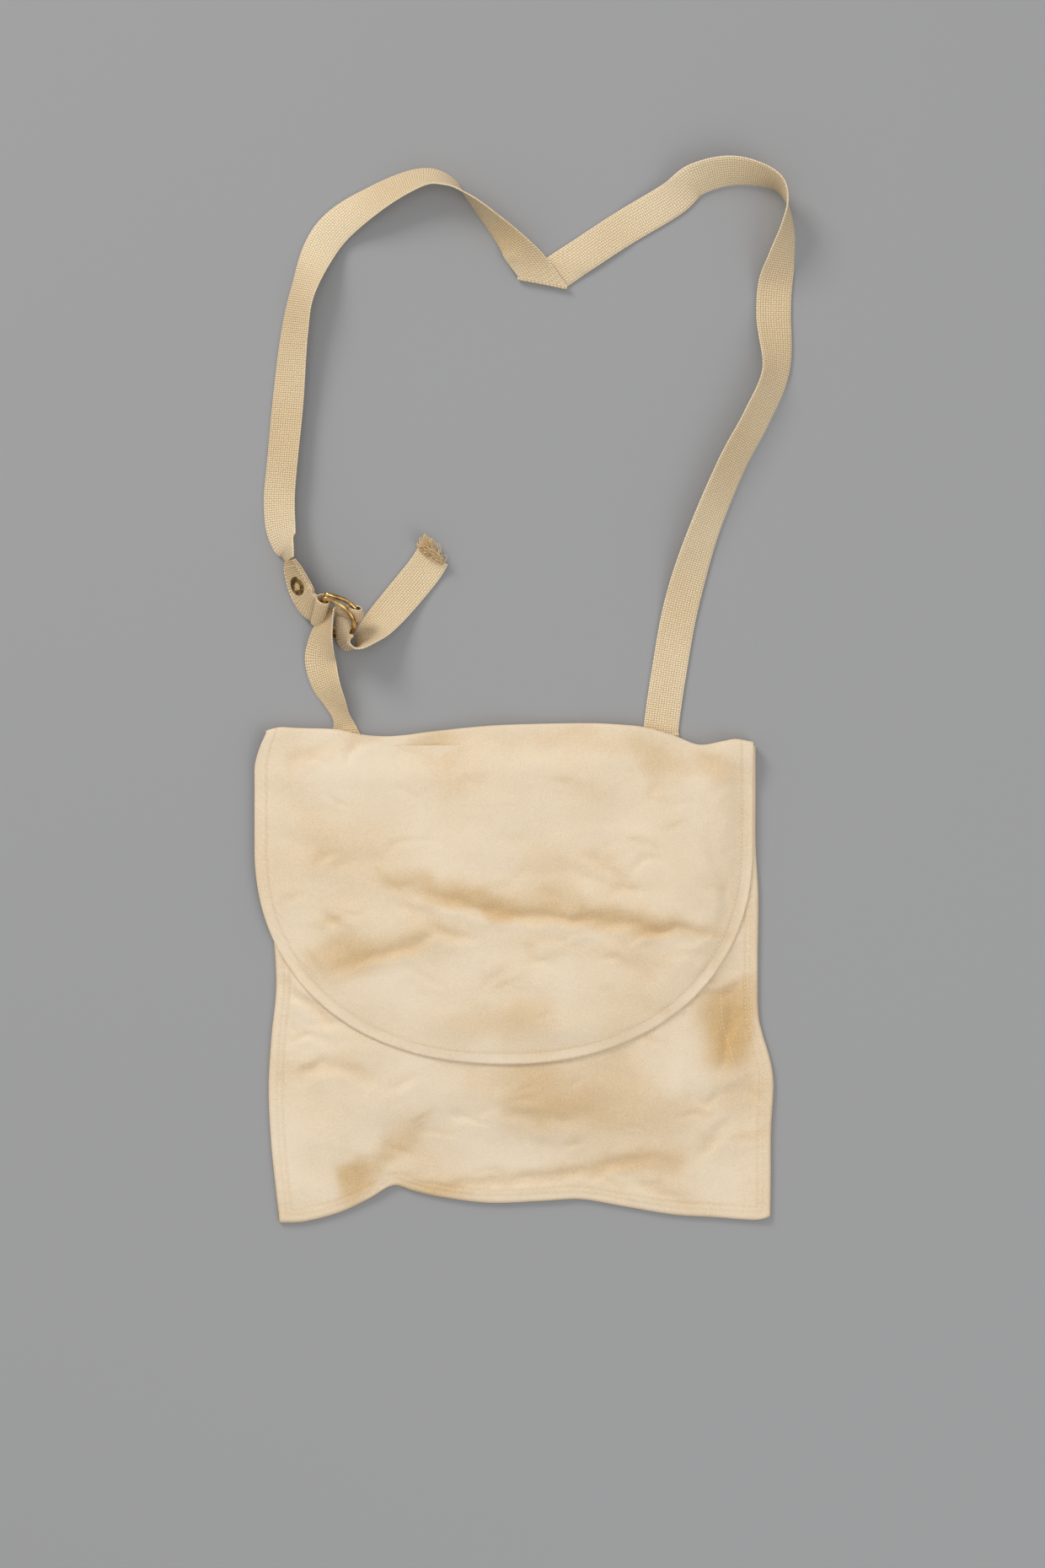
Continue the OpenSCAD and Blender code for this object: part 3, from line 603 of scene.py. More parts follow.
# ---------------------------------------------------------------------------
# Brass fittings: two 1 inch D-rings of drawn brass wire, clouded between bright
# brass and brown as painted reflection, and a rolled eyelet of duller brass through the
# strap's doubled end, clouded the same way, its bore filled with painted shade.
# ---------------------------------------------------------------------------
def clouded_metal(name, scale, stops, metallic):
    """A metal whose colour runs in clouds between two stops, each a place and a colour; the clouds
    are painted reflection, dark and bright patches in place of surroundings for the metal to mirror.
    Gives the material, its shader, and the clouds."""
    material = bpy.data.materials.new(name)
    material.use_nodes = True
    tree = material.node_tree
    shader = tree.nodes["Principled BSDF"]
    place = node(tree, "ShaderNodeTexCoord").outputs["Object"]
    cloud = node(tree, "ShaderNodeTexNoise", {"Vector": place, "Scale": scale, "Detail": 3.0})
    ramp = node(tree, "ShaderNodeValToRGB", {"Fac": cloud.outputs["Fac"]})
    for element, (position, colour) in zip(ramp.color_ramp.elements, stops):
        element.position = position
        element.color = colour
    tree.links.new(ramp.outputs["Color"], shader.inputs["Base Color"])
    shader.inputs["Metallic"].default_value = metallic
    return material, shader, cloud.outputs["Fac"]


# Painted reflection: brown and bright brass clouds on the D-rings.
brass_finish, brass_shader, brass_reflection_cloud = clouded_metal(
    "brass_with_painted_reflection", 120.0, [(0.36, linear(150, 106, 54)), (0.62, linear(240, 204, 138))], 1.0)
brass_rough = node(brass_finish.node_tree, "ShaderNodeMapRange",
                   {"Value": brass_reflection_cloud, "To Min": 0.24, "To Max": 0.14})
brass_finish.node_tree.links.new(brass_rough.outputs["Result"], brass_shader.inputs["Roughness"])
WIRE_R = 0.0017
WIRE_SIDES = 18


def loop_faces(n, m):
    """The faces of n closed rings of m points each, the last ring joined to the first."""
    return [(i * m + j, i * m + (j + 1) % m, ((i + 1) % n) * m + (j + 1) % m, ((i + 1) % n) * m + j)
            for i in range(n) for j in range(m)]


def ring_wire(name, bar_z, tilt, replaced, body):
    """A D-ring swept along its bar, two short legs and a half circle, as a closed loop of round
    wire, lying in the rings' frame and tipped up about its bar."""
    half, leg = 0.0155, 0.01054
    arc = np.linspace(-np.pi / 2, np.pi / 2, 49)
    corner = np.linspace(0, np.pi / 2, 7)[1:-1]
    bend_r = 0.0015
    line = [[0, v] for v in np.linspace(half - bend_r, -half + bend_r, 14)]
    line += [[bend_r - bend_r * math.cos(a), -half + bend_r - bend_r * math.sin(a)] for a in corner]
    line += [[u, -half] for u in np.linspace(bend_r, leg, 6)[:-1]]
    line += [[leg + half * math.cos(a), half * math.sin(a)] for a in arc]
    line += [[u, half] for u in np.linspace(leg, bend_r, 6)[1:]]
    line += [[bend_r - bend_r * math.cos(a), half - bend_r + bend_r * math.sin(a)] for a in corner[::-1]]
    line = np.array(line)
    tip = math.radians(tilt)
    path = ring_place(line[:, 0] * math.cos(tip), line[:, 1], bar_z + line[:, 0] * math.sin(tip))
    normal = np.cross(RING_U * math.cos(tip) + RING_N * math.sin(tip), RING_V)
    tangent = unit(np.roll(path, -1, axis=0) - np.roll(path, 1, axis=0))
    out = np.cross(tangent, normal)
    angle = np.linspace(0, 2 * np.pi, WIRE_SIDES, endpoint=False)
    points = (path[:, None] + WIRE_R * (out[:, None] * np.cos(angle)[:, None]
                                        + normal * np.sin(angle)[:, None])).reshape(-1, 3)
    ring = facing_out(set_mesh(name, points, loop_faces(len(path), WIRE_SIDES)))
    ring.data.materials.append(brass_finish)
    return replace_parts(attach(ring, body), replaced)


ring_wire("upper_ring_wire", UPPER_BAR, 12.0, "upper_d_ring", "upper_ring")
ring_wire("lower_ring_wire", LOWER_BAR, 0.0, "lower_d_ring", "lower_ring")

EYELET_RING = 16
eyelet_at = end_centre[EYELET_RING]
eyelet_x = end_side[EYELET_RING]
eyelet_z = end_face[EYELET_RING]
eyelet_y = np.cross(eyelet_z, eyelet_x)
EYELET_PROFILE = np.array([
    [3.0, -2.75], [3.6, -2.75], [3.8, -2.4], [6.2, -2.4], [6.9, -2.1], [6.9, -1.75], [3.7, -1.6],
    [3.7, 1.6], [6.6, 1.62], [7.0, 1.8], [6.9, 2.15], [6.2, 2.5], [5.0, 2.75], [3.9, 2.65],
    [3.2, 2.3], [3.0, 1.8]])


def turned(name, profile, centre, x, y, z, sides=64):
    """A closed ring turned from a profile of radius and height in millimetres."""
    angle = np.linspace(0, 2 * np.pi, sides, endpoint=False)
    radius, height = profile[:, 0] * MM, profile[:, 1] * MM
    outward = x * np.cos(angle)[:, None] + y * np.sin(angle)[:, None]
    points = centre + outward[:, None] * radius[None, :, None] + z * height[None, :, None]
    return facing_out(set_mesh(name, points.reshape(-1, 3), loop_faces(sides, len(profile))))


dull_brass, dull_shader, _ = clouded_metal(
    "dull_brass", 260.0, [(0.4, linear(104, 80, 42)), (0.66, linear(168, 134, 76))], 0.85)
dull_shader.inputs["Roughness"].default_value = 0.36
eyelet = turned("rolled_eyelet", EYELET_PROFILE, eyelet_at, eyelet_x, eyelet_y, eyelet_z)
eyelet.data.materials.append(dull_brass)
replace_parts(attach(eyelet, "bag"), "eyelet", "eyelet_washer")
# A dark matt plug filling the eyelet's bore: painted shade in the hole.
eyelet_shade = turned("eyelet_bore_shade", np.array([[0.05, -1.0], [3.05, -1.0], [3.05, 1.0], [0.05, 1.0]]),
                      eyelet_at, eyelet_x, eyelet_y, eyelet_z, 32)
eyelet_shade.data.materials.append(plain_finish("eyelet_shade", linear(66, 47, 26), 0.9))
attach(eyelet_shade, "bag")

# ---------------------------------------------------------------------------
# Bag body: a back and a front of undyed cotton duck, joined by double-stitched
# seams. The bag is empty, so the front lies in soft, irregular wrinkles.
# ---------------------------------------------------------------------------
MOUTH_Y = 166.0          # upper edge of the front, in mm
FOLD_LINE = np.array([[-190, 176], [-177, 179], [-160, 178.5], [-130, 177.5], [-112, 174], [-95, 172.5],
                      [-78, 173.5], [-60, 176], [-20, 180], [18, 181.5], [54, 182], [75, 181], [94, 179],
                      [115, 173], [133, 166.5], [150, 169], [160, 170.5], [174, 168]], float)
LEFT_LINE = np.array([[-180, -170], [-170, -171], [-124, -176], [-82, -178], [-45, -176], [-8, -172.5],
                      [34, -174.5], [95, -176], [140, -177], [182, -177]], float)
RIGHT_LINE = np.array([[-180, 184.5], [-146, 185], [-112, 185.2], [-82, 187], [-68, 186], [-57, 183.5],
                       [-42, 179], [-27, 176], [10, 175.6], [58, 176], [95, 174], [140, 174],
                       [182, 174]], float)
BOTTOM_LINE = np.array([[-172, -179], [-153, -178], [-126, -171], [-104, -161], [-87, -152], [-72, -156],
                        [-55, -160], [-19, -164.6], [18, -163.4], [48, -162], [79, -167], [115, -173],
                        [146, -175], [176, -177], [187, -174]], float)


def line_at(line, where):
    """The second column of an outline, at places of its first, along a smooth curve."""
    dense = smooth_route(line, 10)
    return np.interp(where, dense[:, 0], dense[:, 1])


def smooth_step(v):
    """0 below 0, 1 above 1, and smooth between."""
    v = np.clip(v, 0, 1)
    return v * v * (3 - 2 * v)


def random_creases(count, x_range, y_range, seed):
    """Short, faint creases strewn over an area, most of them lying nearly across the bag."""
    random = np.random.default_rng(seed)
    made = []
    for _ in range(count):
        at = np.array([random.uniform(*x_range), random.uniform(*y_range)])
        a = random.normal(0, 0.55)
        half = random.uniform(6, 20)
        bow = random.normal(0, 0.18) * half
        step = np.array([math.cos(a), math.sin(a)]) * half
        out = np.array([-math.sin(a), math.cos(a)]) * bow
        made.append(([tuple(at - step), tuple(at + out), tuple(at + step)], random.uniform(1.5, 3.0),
                     random.uniform(0.4, 1.35), random.uniform(0.0, 0.16)))
    return made


def crease_field(x, y, creases):
    """Height in mm and painted shade of creases. Each crease is its points, its width, its depth and
    the strength of its painted shade. Across it the cloth sinks by depth exp(-(d/w)^2) and stands up
    beside it by half the depth at 1.7 widths, and both fade out towards its ends. The painted shade
    lies along the crease, a little to one side, and fades out the same way."""
    height, colour = np.zeros_like(x), np.zeros_like(x)
    x, y = (x + 1.6 * ripples(x, y, 8, 18, 50, 41) + 0.5 * ripples(x, y, 8, 7, 16, 42),
            y + 1.6 * ripples(x, y, 8, 18, 50, 43) + 0.5 * ripples(x, y, 8, 7, 16, 44))
    for points, w, depth, tone in creases:
        points = smooth_route(np.array(points, float), 5)
        length = run_along(points)
        near = np.full_like(x, 1e9)
        signed, along = np.zeros_like(x), np.zeros_like(x)
        for a, b, s in zip(points[:-1], points[1:], length[:-1]):
            e = b - a
            t = np.clip(((x - a[0]) * e[0] + (y - a[1]) * e[1]) / (e @ e), 0, 1)
            dx, dy = x - a[0] - t * e[0], y - a[1] - t * e[1]
            d = np.hypot(dx, dy)
            closer = d < near
            near = np.where(closer, d, near)
            signed = np.where(closer, np.where(e[0] * dy - e[1] * dx > 0, d, -d), signed)
            along = np.where(closer, (s + t * np.linalg.norm(e)) / length[-1], along)
        fade = np.sin(np.pi * np.clip(along, 0.02, 0.98)) ** 0.7
        height += depth * fade * (-np.exp(-(signed / w) ** 2)
                                  + 0.55 * np.exp(-((signed + 1.7 * w) / (1.3 * w)) ** 2)
                                  + 0.25 * np.exp(-((signed - 2.0 * w) / (1.6 * w)) ** 2))
        # Painted shade along the crease, a little to one side of it.
        colour += tone * fade * np.exp(-((signed - 0.7 * w) / (1.7 * w)) ** 2)
    return height, colour


def patch_field(x, y, patches):
    """Coloured areas with a wavy, soft outline: each patch is its middle, its two half sizes,
    its turn in degrees and its tone."""
    colour = np.zeros_like(x)
    x = x + 4.0 * ripples(x, y, 8, 16, 60, 71)
    y = y + 3.0 * ripples(x, y, 8, 16, 60, 72)
    for cx, cy, rx, ry, turned_by, tone in patches:
        a = math.radians(turned_by)
        u = (x - cx) * math.cos(a) + (y - cy) * math.sin(a)
        v = -(x - cx) * math.sin(a) + (y - cy) * math.cos(a)
        colour += tone * np.exp(-((u / rx) ** 2 + (v / ry) ** 2) ** 1.5)
    return colour


def ripples(x, y, count, low, high, seed):
    """A sum of sine waves of random direction and phase, with wavelengths from low to high mm."""
    random = np.random.default_rng(seed)
    total = np.zeros_like(x)
    for _ in range(count):
        a, phase = random.uniform(0, np.pi), random.uniform(0, 2 * np.pi)
        k = 2 * np.pi / random.uniform(low, high)
        bend_by = random.uniform(-0.02, 0.02)
        total += np.sin(k * (x * math.cos(a) + y * math.sin(a) + bend_by * x * y / 20) + phase)
    return total / math.sqrt(count)


# Each crease: its points, width, depth, and the strength of its painted shade.
FRONT_CREASES = [
    ([(-174, -2), (-159, -15), (-144, -24), (-132, -34), (-122, -32)], 3.2, 2.6, 0.25),
    ([(-163, -48), (-157, -46), (-146, -42)], 2.8, 1.3, 0.2),
    ([(-162, -77), (-147, -70), (-129, -65), (-98, -77)], 4.0, 1.8, 0.25),
    ([(-80, -160), (-31, -152), (18, -148), (54, -144), (79, -135), (109, -134)], 4.0, 2.6, 0.35),
    ([(82, -149), (115, -161), (134, -173)], 3.5, 1.6, 0.2),
    ([(157, -18), (155, -40), (147, -72)], 5.0, 2.6, 0.45),
    ([(127, -130), (146, -118), (155, -106)], 4.5, 1.4, 0.15),
    ([(176, -2), (150, -14), (128, -12)], 4.0, 1.8, 0.25),
    ([(182, -70), (160, -84), (128, -90)], 5.0, 1.4, 0.15),
    ([(-120, -126), (-108, -146), (-112, -164)], 4.5, 1.6, 0.2),
    ([(-60, -110), (-20, -96), (30, -104), (70, -92)], 6.0, 1.2, 0.12),
    ([(-165, 30), (-150, 10), (-146, -8)], 3.5, 1.2, 0.1)]
FRONT_CREASES += random_creases(64, (-165, 175), (-165, 20), 61)
# Darker patches, partly real stains and partly painted shade along the creases and folds; a negative tone
# makes a patch paler.
FRONT_STAIN_AND_SHADE_PATCHES = [
    (-95, -132, 46, 11, 45, 0.5), (-120, -146, 15, 12, 60, 0.95), (40, -86, 70, 22, -12, 0.42),
    (150, -36, 17, 32, 12, 0.85), (168, -30, 9, 24, 5, 0.24), (95, -134, 30, 8, 8, 0.4),
    (20, -104, 46, 16, 20, 0.22), (-60, -155, 26, 8, -8, 0.3), (120, -100, 22, 14, 30, 0.18),
    (60, -60, 30, 12, -20, 0.22), (-150, -110, 20, 30, 0, -0.10), (140, -150, 30, 16, 0, -0.12)]

ROWS, COLUMNS = 176, 184
PANEL_T = 1.2
LEAST_HIGH = 2.9         # where the front rests on the binding and the back
grid_s = np.linspace(0, 1, COLUMNS)[None, :]
grid_t = np.linspace(0, 1, ROWS)[:, None]
corner_x = -172 + 359 * grid_s
SEAM_OUTER, SEAM_INNER, ALLOWANCE = 5.2, 9.4, 27     # stitch rows, in from the side's edge


def panel_grid(top, inset=0.0):
    """x and y in mm of a panel's grid of points, from its bottom edge up to top."""
    y = line_at(BOTTOM_LINE, corner_x) + inset + grid_t * (top - line_at(BOTTOM_LINE, corner_x) - inset)
    left, right = line_at(LEFT_LINE, y) + inset, line_at(RIGHT_LINE, y) - inset
    return left + grid_s * (right - left), y


def edge_distance(x, y):
    """How far in from the side seams and the bottom seam, in mm."""
    return np.minimum(np.minimum(x - line_at(LEFT_LINE, y), line_at(RIGHT_LINE, y) - x),
                      y - line_at(BOTTOM_LINE, x))


FLAP_MID, FLAP_HALF, FLAP_STRAIGHT, FLAP_ROUND = -8.0, 180.0, 93.4, 157.0
FLAP_POWER = 2.2         # 2 would make the flap's edge an ellipse


def flap_line(x):
    """The y of the flap's rounded edge at x."""
    n = np.clip(abs(x - FLAP_MID) / FLAP_HALF, 0, 1)
    return FLAP_STRAIGHT - FLAP_ROUND * (1 - n ** FLAP_POWER) ** (1 / FLAP_POWER)


def front_height(x, y):
    """Top of the front in mm: a shallow swell over the flat seam margins, the creases, and the
    small ripples, which all die away under the flap."""
    left, right = line_at(LEFT_LINE, y), line_at(RIGHT_LINE, y)
    n = np.clip(abs(x - (left + right) / 2) / ((right - left) / 2 - 13), 0, 1)
    up = np.sin(np.pi / 2 * smooth_step((y - line_at(BOTTOM_LINE, x) - 12) / 95))
    down = 1 - 0.4 * np.clip(y / 166, 0, 1) ** 2
    swell = 11.5 * (1 - n ** 3) * up * down
    edge = edge_distance(x, y)
    inner = smooth_step(edge / 16)
    bare = 1 - smooth_step((y - flap_line(x) + 4) / 14) * (abs(x - FLAP_MID) < FLAP_HALF)
    wrinkle, _ = crease_field(x, y, FRONT_CREASES)
    soft = (1.3 * ripples(x, y, 9, 60, 150, 3) + 0.55 * ripples(x, y, 14, 22, 60, 4)
            + 0.14 * ripples(x, y, 20, 8, 20, 5))
    pucker = 0.22 * np.sin(y * 2 * np.pi / 6.3 + 2 * np.sin(y / 17)) * np.exp(-((edge - 9) / 7) ** 2)
    height = 3.6 + swell + (wrinkle + soft) * (0.04 + 0.96 * inner) * bare + pucker * bare
    return np.maximum(height, LEAST_HIGH)


def cloth_sheet(name, top, low):
    """A closed sheet between two grids of points in metres, top and low, with a rim all round."""
    rows, columns = top.shape[:2]
    at = np.arange(rows * columns).reshape(rows, columns)
    under = at + rows * columns
    a, b, c, d = at[:-1, :-1], at[:-1, 1:], at[1:, 1:], at[1:, :-1]
    e, f, g, h = under[:-1, :-1], under[1:, :-1], under[1:, 1:], under[:-1, 1:]
    loop = np.r_[at[0, :-1], at[:-1, -1], at[-1, :0:-1], at[:0:-1, 0]]
    after = np.roll(loop, -1)
    faces = np.concatenate([np.stack([a, b, c, d], -1).reshape(-1, 4),
                            np.stack([e, f, g, h], -1).reshape(-1, 4),
                            np.stack([loop, loop + rows * columns, after + rows * columns, after], -1)])
    return facing_out(set_mesh(name, np.r_[top.reshape(-1, 3), low.reshape(-1, 3)],
                               [tuple(q) for q in faces.tolist()]))


CANVAS_FRESH = linear(254, 235, 206)
# The second canvas colour is the ochre that both yellowing and painted shade tint towards.
CANVAS_AGED_AND_SHADED = linear(214, 170, 98)
canvas_finish = cloth_finish("cotton_duck", CANVAS_FRESH, CANVAS_AGED_AND_SHADED, (0.00062, 0.00058), amount="age_and_painted_light",
                             fleck=0.8, strength=0.8, height=0.00028, gap_shade=0.26, crumple=0.0017)
lining_finish = cloth_finish("cotton_lining", linear(232, 212, 178), linear(196, 158, 102),
                             (0.0004, 0.0004), fleck=0.3, strength=0.3, height=0.0001)

front_x, front_y = panel_grid(MOUTH_Y)
front_top = front_height(front_x, front_y)
front_rim = edge_distance(front_x, front_y)
roll = np.sqrt(np.clip(1 - (1 - np.clip(front_rim / 1.6, 0, 1)) ** 2, 0, 1))
front_top = front_top - 1.2 * (1 - roll)
front_low = np.maximum(front_top - PANEL_T, 1.45)
front_panel = cloth_sheet("front_canvas", np.stack([front_x, front_y, front_top], -1) * MM,
                          np.stack([front_x, front_y, front_low], -1) * MM)
# Tint of the front: painted shade in the creases, the stain and shade patches, slow random tone, painted
# shade along both stitch rows of each side seam, and painted shade along the rolled edge.
_, front_tone = crease_field(front_x, front_y, FRONT_CREASES)
front_tone = (front_tone + patch_field(front_x, front_y, FRONT_STAIN_AND_SHADE_PATCHES)
              + 0.1 * ripples(front_x, front_y, 9, 50, 160, 8))
front_age_and_shade = (0.04 + 0.60 * np.tanh(1.35 * front_tone)
             + 0.18 * np.exp(-((front_rim - SEAM_OUTER) / 0.9) ** 2)
             + 0.18 * np.exp(-((front_rim - SEAM_INNER) / 0.9) ** 2)
             + 0.25 * np.exp(-(front_rim / 1.2) ** 2))
point_values(front_panel, "age_and_painted_light", np.r_[front_age_and_shade.ravel(), front_age_and_shade.ravel()])
front_panel.data.materials.append(canvas_finish)
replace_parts(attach(front_panel, "bag"), "front_panel")

back_x, back_y = panel_grid(line_at(FOLD_LINE, corner_x) - 3.0)
back_rise = (0.35 * (1 + ripples(back_x, back_y, 8, 50, 140, 12) / 3)
             * smooth_step(edge_distance(back_x, back_y) / 30))


def over_straps(x, y):
    """1 where the back lies over a sewn strap end, and 0 elsewhere, with a soft step between."""
    near = np.maximum(smooth_step((17 - abs(x - 106)) / 4), smooth_step((17 - abs(x + 123)) / 4))
    return near * smooth_step((y - 120) / 4)


back_low = 0.12 + np.clip(back_rise, 0, 1) + 1.7 * over_straps(back_x, back_y)
back_panel = cloth_sheet("back_canvas", np.stack([back_x, back_y, back_low + PANEL_T], -1) * MM,
                         np.stack([back_x, back_y, back_low], -1) * MM)
back_age = 0.2 + 0.12 * ripples(back_x, back_y, 9, 60, 180, 9)
point_values(back_panel, "age_and_painted_light", np.r_[back_age.ravel(), back_age.ravel()])
back_panel.data.materials.append(canvas_finish)
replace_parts(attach(back_panel, "bag"), "back_panel")

# ---------------------------------------------------------------------------
# Mouth hem and seam tapes: the front's upper edge is turned in twice inside the
# mouth, and a strip of the lining cloth binds each seam between the panels.
# ---------------------------------------------------------------------------
hem_s = np.linspace(0.09, 0.91, 90)[None, :]
hem_y = np.linspace(MOUTH_Y - 20, MOUTH_Y - 0.5, 14)[:, None] + 0 * hem_s
hem_left, hem_right = line_at(LEFT_LINE, hem_y), line_at(RIGHT_LINE, hem_y)
hem_x = hem_left + hem_s * (hem_right - hem_left)
hem_top = front_height(hem_x, hem_y) - PANEL_T - 0.08
mouth_hem = cloth_sheet("turned_mouth_hem", np.stack([hem_x, hem_y, hem_top], -1) * MM,
                        np.stack([hem_x, hem_y, hem_top - 1.2], -1) * MM)
mouth_hem.data.materials.append(lining_finish)
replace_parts(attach(mouth_hem, "bag"), "mouth_hem")


def seam_tape(name, outer, inner, replaced):
    """A strip of binding between two lines of points in mm, lying between the panels."""
    level = np.full(len(outer), 1.5)
    low = np.stack([np.c_[outer, level], np.c_[inner, level]], 0) * MM
    tape = cloth_sheet(name, low + np.array([0, 0, 0.8 * MM]), low)
    tape.data.materials.append(lining_finish)
    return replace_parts(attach(tape, "bag"), replaced)


tape_y = np.linspace(-158, 160, 60)
seam_tape("left_tape", np.c_[line_at(LEFT_LINE, tape_y) + 2, tape_y],
          np.c_[line_at(LEFT_LINE, tape_y) + 11, tape_y], "left_seam_binding")
seam_tape("right_tape", np.c_[line_at(RIGHT_LINE, tape_y) - 2, tape_y],
          np.c_[line_at(RIGHT_LINE, tape_y) - 11, tape_y], "right_seam_binding")
tape_x = np.linspace(-160, 172, 60)
seam_tape("bottom_tape", np.c_[tape_x, line_at(BOTTOM_LINE, tape_x) + 2],
          np.c_[tape_x, line_at(BOTTOM_LINE, tape_x) + 11], "bottom_seam_binding")

# ---------------------------------------------------------------------------
# Flap: one piece with the back, of two layers of the duck. It folds over the
# mouth, and its topstitched, rounded edge is turned under.
# ---------------------------------------------------------------------------
FLAP_T = 1.3
STITCH_IN = 8.6          # from the flap's edge to its topstitching
# Each crease: its points, width, depth, and the strength of its painted shade.
FLAP_CREASES = [
    ([(-96, 66), (-80, 64), (-43, 54), (-13, 46), (18, 43), (54, 40), (91, 34), (136, 27)],
     4.2, 3.6, 0.42),
    ([(-140, -2), (-116, 10), (-92, 18), (-68, 24), (-50, 32)], 4.0, 2.4, 0.34),
    ([(-70, 38), (-50, 30), (-26, 26)], 3.2, 1.6, 0.18),
    ([(44, 92), (58, 84), (72, 76), (90, 60)], 3.4, 1.7, 0.2),
    ([(55, 34), (76, 27), (91, 28), (109, 35), (124, 34), (146, 27), (166, 22)], 3.2, 2.0, 0.28),
    ([(60, 14), (72, 12), (86, 4)], 3.0, 1.4, 0.12),
    ([(-126, 154), (-110, 166), (-92, 175)], 4.0, 2.6, 0.3),
    ([(-164, 150), (-150, 158), (-134, 167)], 4.0, 1.2, 0.15),
    ([(96, 164), (104, 156), (112, 146)], 4.5, 1.6, 0.22),
    ([(126, 158), (144, 152), (166, 144)], 4.0, 1.6, 0.2),
    ([(-64, 172), (-56, 158), (-40, 146)], 6.0, 1.3, 0.15),
    ([(-84, 54), (-62, 40), (-40, 22)], 4.0, 1.3, 0.12),
    ([(-160, 96), (-120, 84), (-86, 84)], 6.0, 1.1, 0.08),
    ([(20, 120), (60, 112), (110, 118)], 7.0, 1.0, 0.05),
    ([(140, 96), (152, 60), (150, 30)], 5.0, 1.4, 0.12),
    ([(-10, 70), (30, 74), (80, 62), (120, 62)], 6.0, 1.2, 0.1)]
FLAP_CREASES += random_creases(44, (-165, 150), (-30, 90), 62)
FLAP_CREASES += random_creases(22, (-170, 155), (90, 172), 63)
# Darker patches, partly real stains and partly painted shade along the creases and folds; a negative tone
# makes a patch paler.
FLAP_STAIN_AND_SHADE_PATCHES = [
    (-50, 62, 44, 9, -12, 0.42), (-22, 52, 26, 7, -12, 0.5), (86, 40, 44, 9, -8, 0.42),
    (40, 52, 50, 14, -8, 0.25), (-120, 14, 34, 14, 16, 0.3), (-90, 20, 44, 16, 10, 0.28),
    (-60, 168, 26, 9, 12, 0.3), (40, 170, 46, 10, 0, 0.24), (96, 158, 20, 12, -40, 0.26),
    (136, 150, 26, 10, -18, 0.26), (-128, 166, 28, 8, 28, 0.26), (150, 100, 18, 40, 5, 0.14),
    (-10, -32, 44, 14, 4, 0.3), (-146, 90, 26, 40, 0, 0.12), (40, 20, 60, 8, -6, 0.18),
    (30, 110, 50, 24, 0, -0.1), (-60, 100, 50, 26, 0, -0.06)]


def flap_rim(x, y):
    """How far in mm a place is from the flap's left, right and rounded edges."""
    line_x = FLAP_MID + FLAP_HALF * np.sin(np.linspace(-np.pi / 2, np.pi / 2, 181))
    line_y = flap_line(line_x)
    line_x = np.r_[line_x[0], line_x, line_x[-1]]
    line_y = np.r_[185.0, line_y, 185.0]
    near = np.full_like(x, 1e9)
    for ax, ay, bx, by in zip(line_x[:-1], line_y[:-1], line_x[1:], line_y[1:]):
        ex, ey = bx - ax, by - ay
        t = np.clip(((x - ax) * ex + (y - ay) * ey) / (ex * ex + ey * ey), 0, 1)
        near = np.minimum(near, np.hypot(x - ax - t * ex, y - ay - t * ey))
    return near


def flap_height(x, y, rim):
    """Top of the flap in mm. It lies on the front at its edge and stands a little clear of it
    inside, with its own creases and ripples, and it never sinks into the front."""
    under = front_height(x, np.minimum(y, MOUTH_Y))
    wrinkle, _ = crease_field(x, y, FLAP_CREASES)
    soft = (1.2 * ripples(x, y, 9, 60, 150, 21) + 0.5 * ripples(x, y, 14, 22, 60, 22)
            + 0.12 * ripples(x, y, 20, 8, 20, 23))
    inside = smooth_step(rim / 24)
    edge_wave = 0.35 * (1 + ripples(x, y, 6, 40, 110, 24) / 2)
    free = under + 0.45 + edge_wave + 3.4 * inside + (wrinkle + soft) * (0.3 + 0.7 * inside)
    floor_of = under + 0.3
    lift = 0.5 * (free + floor_of + np.sqrt((free - floor_of) ** 2 + 0.1))
    stitch = -0.13 * np.exp(-((rim - STITCH_IN) / 1.2) ** 2) - 0.2 * np.exp(-((rim - 4.5) / 4.0) ** 2)
    pull = 0.16 * np.sin(6.283 * (x + y) / 6.0) * np.exp(-((rim - STITCH_IN) / 5) ** 2)
    return lift + FLAP_T + stitch + pull


def drawn_in(y):
    """How far in mm the flap's left corner is drawn in, close to the fold."""
    return 11.0 * np.clip((y - 148) / 31, 0, 1) ** 1.6


def fold_part(x, y):
    """0 on the open flap and 1 on the fold, with a soft step between."""
    return smooth_step((y - (line_at(FOLD_LINE, x) - 34)) / 30)


FLAP_ROWS, FLAP_COLUMNS, FOLD_ROWS = 132, 188, 12
flap_q = np.sin(np.pi / 2 * np.linspace(-1, 1, FLAP_COLUMNS))[None, :]
flap_b = np.linspace(0, 1, FLAP_ROWS)[:, None] ** 0.94
flat_x = FLAP_MID + FLAP_HALF * flap_q + 0 * flap_b
fold_at = line_at(FOLD_LINE, flat_x)
flap_y = fold_at - 2.2 + flap_b * (flap_line(flat_x) - fold_at + 2.2)
flap_x = flat_x + drawn_in(flap_y) * np.clip(-(flat_x - FLAP_MID) / FLAP_HALF, 0, 1) ** 6
rim = flap_rim(flat_x, flap_y)
top = flap_height(flat_x, flap_y, rim)
near_fold = fold_part(flat_x, flap_y)


def over_fold(x, y):
    """Top of the cloth in mm where it rolls over the fold, with the creases that reach it."""
    wrinkle, _ = crease_field(x, y, FLAP_CREASES)
    clear = smooth_step((line_at(FOLD_LINE, x) - 3 - y) / 9)
    return (9.2 + 1.2 * ripples(x, 0 * x, 5, 50, 120, 31) + 2.0 * np.exp(-((x - 152) / 16) ** 2)
            + 0.8 * wrinkle * clear)


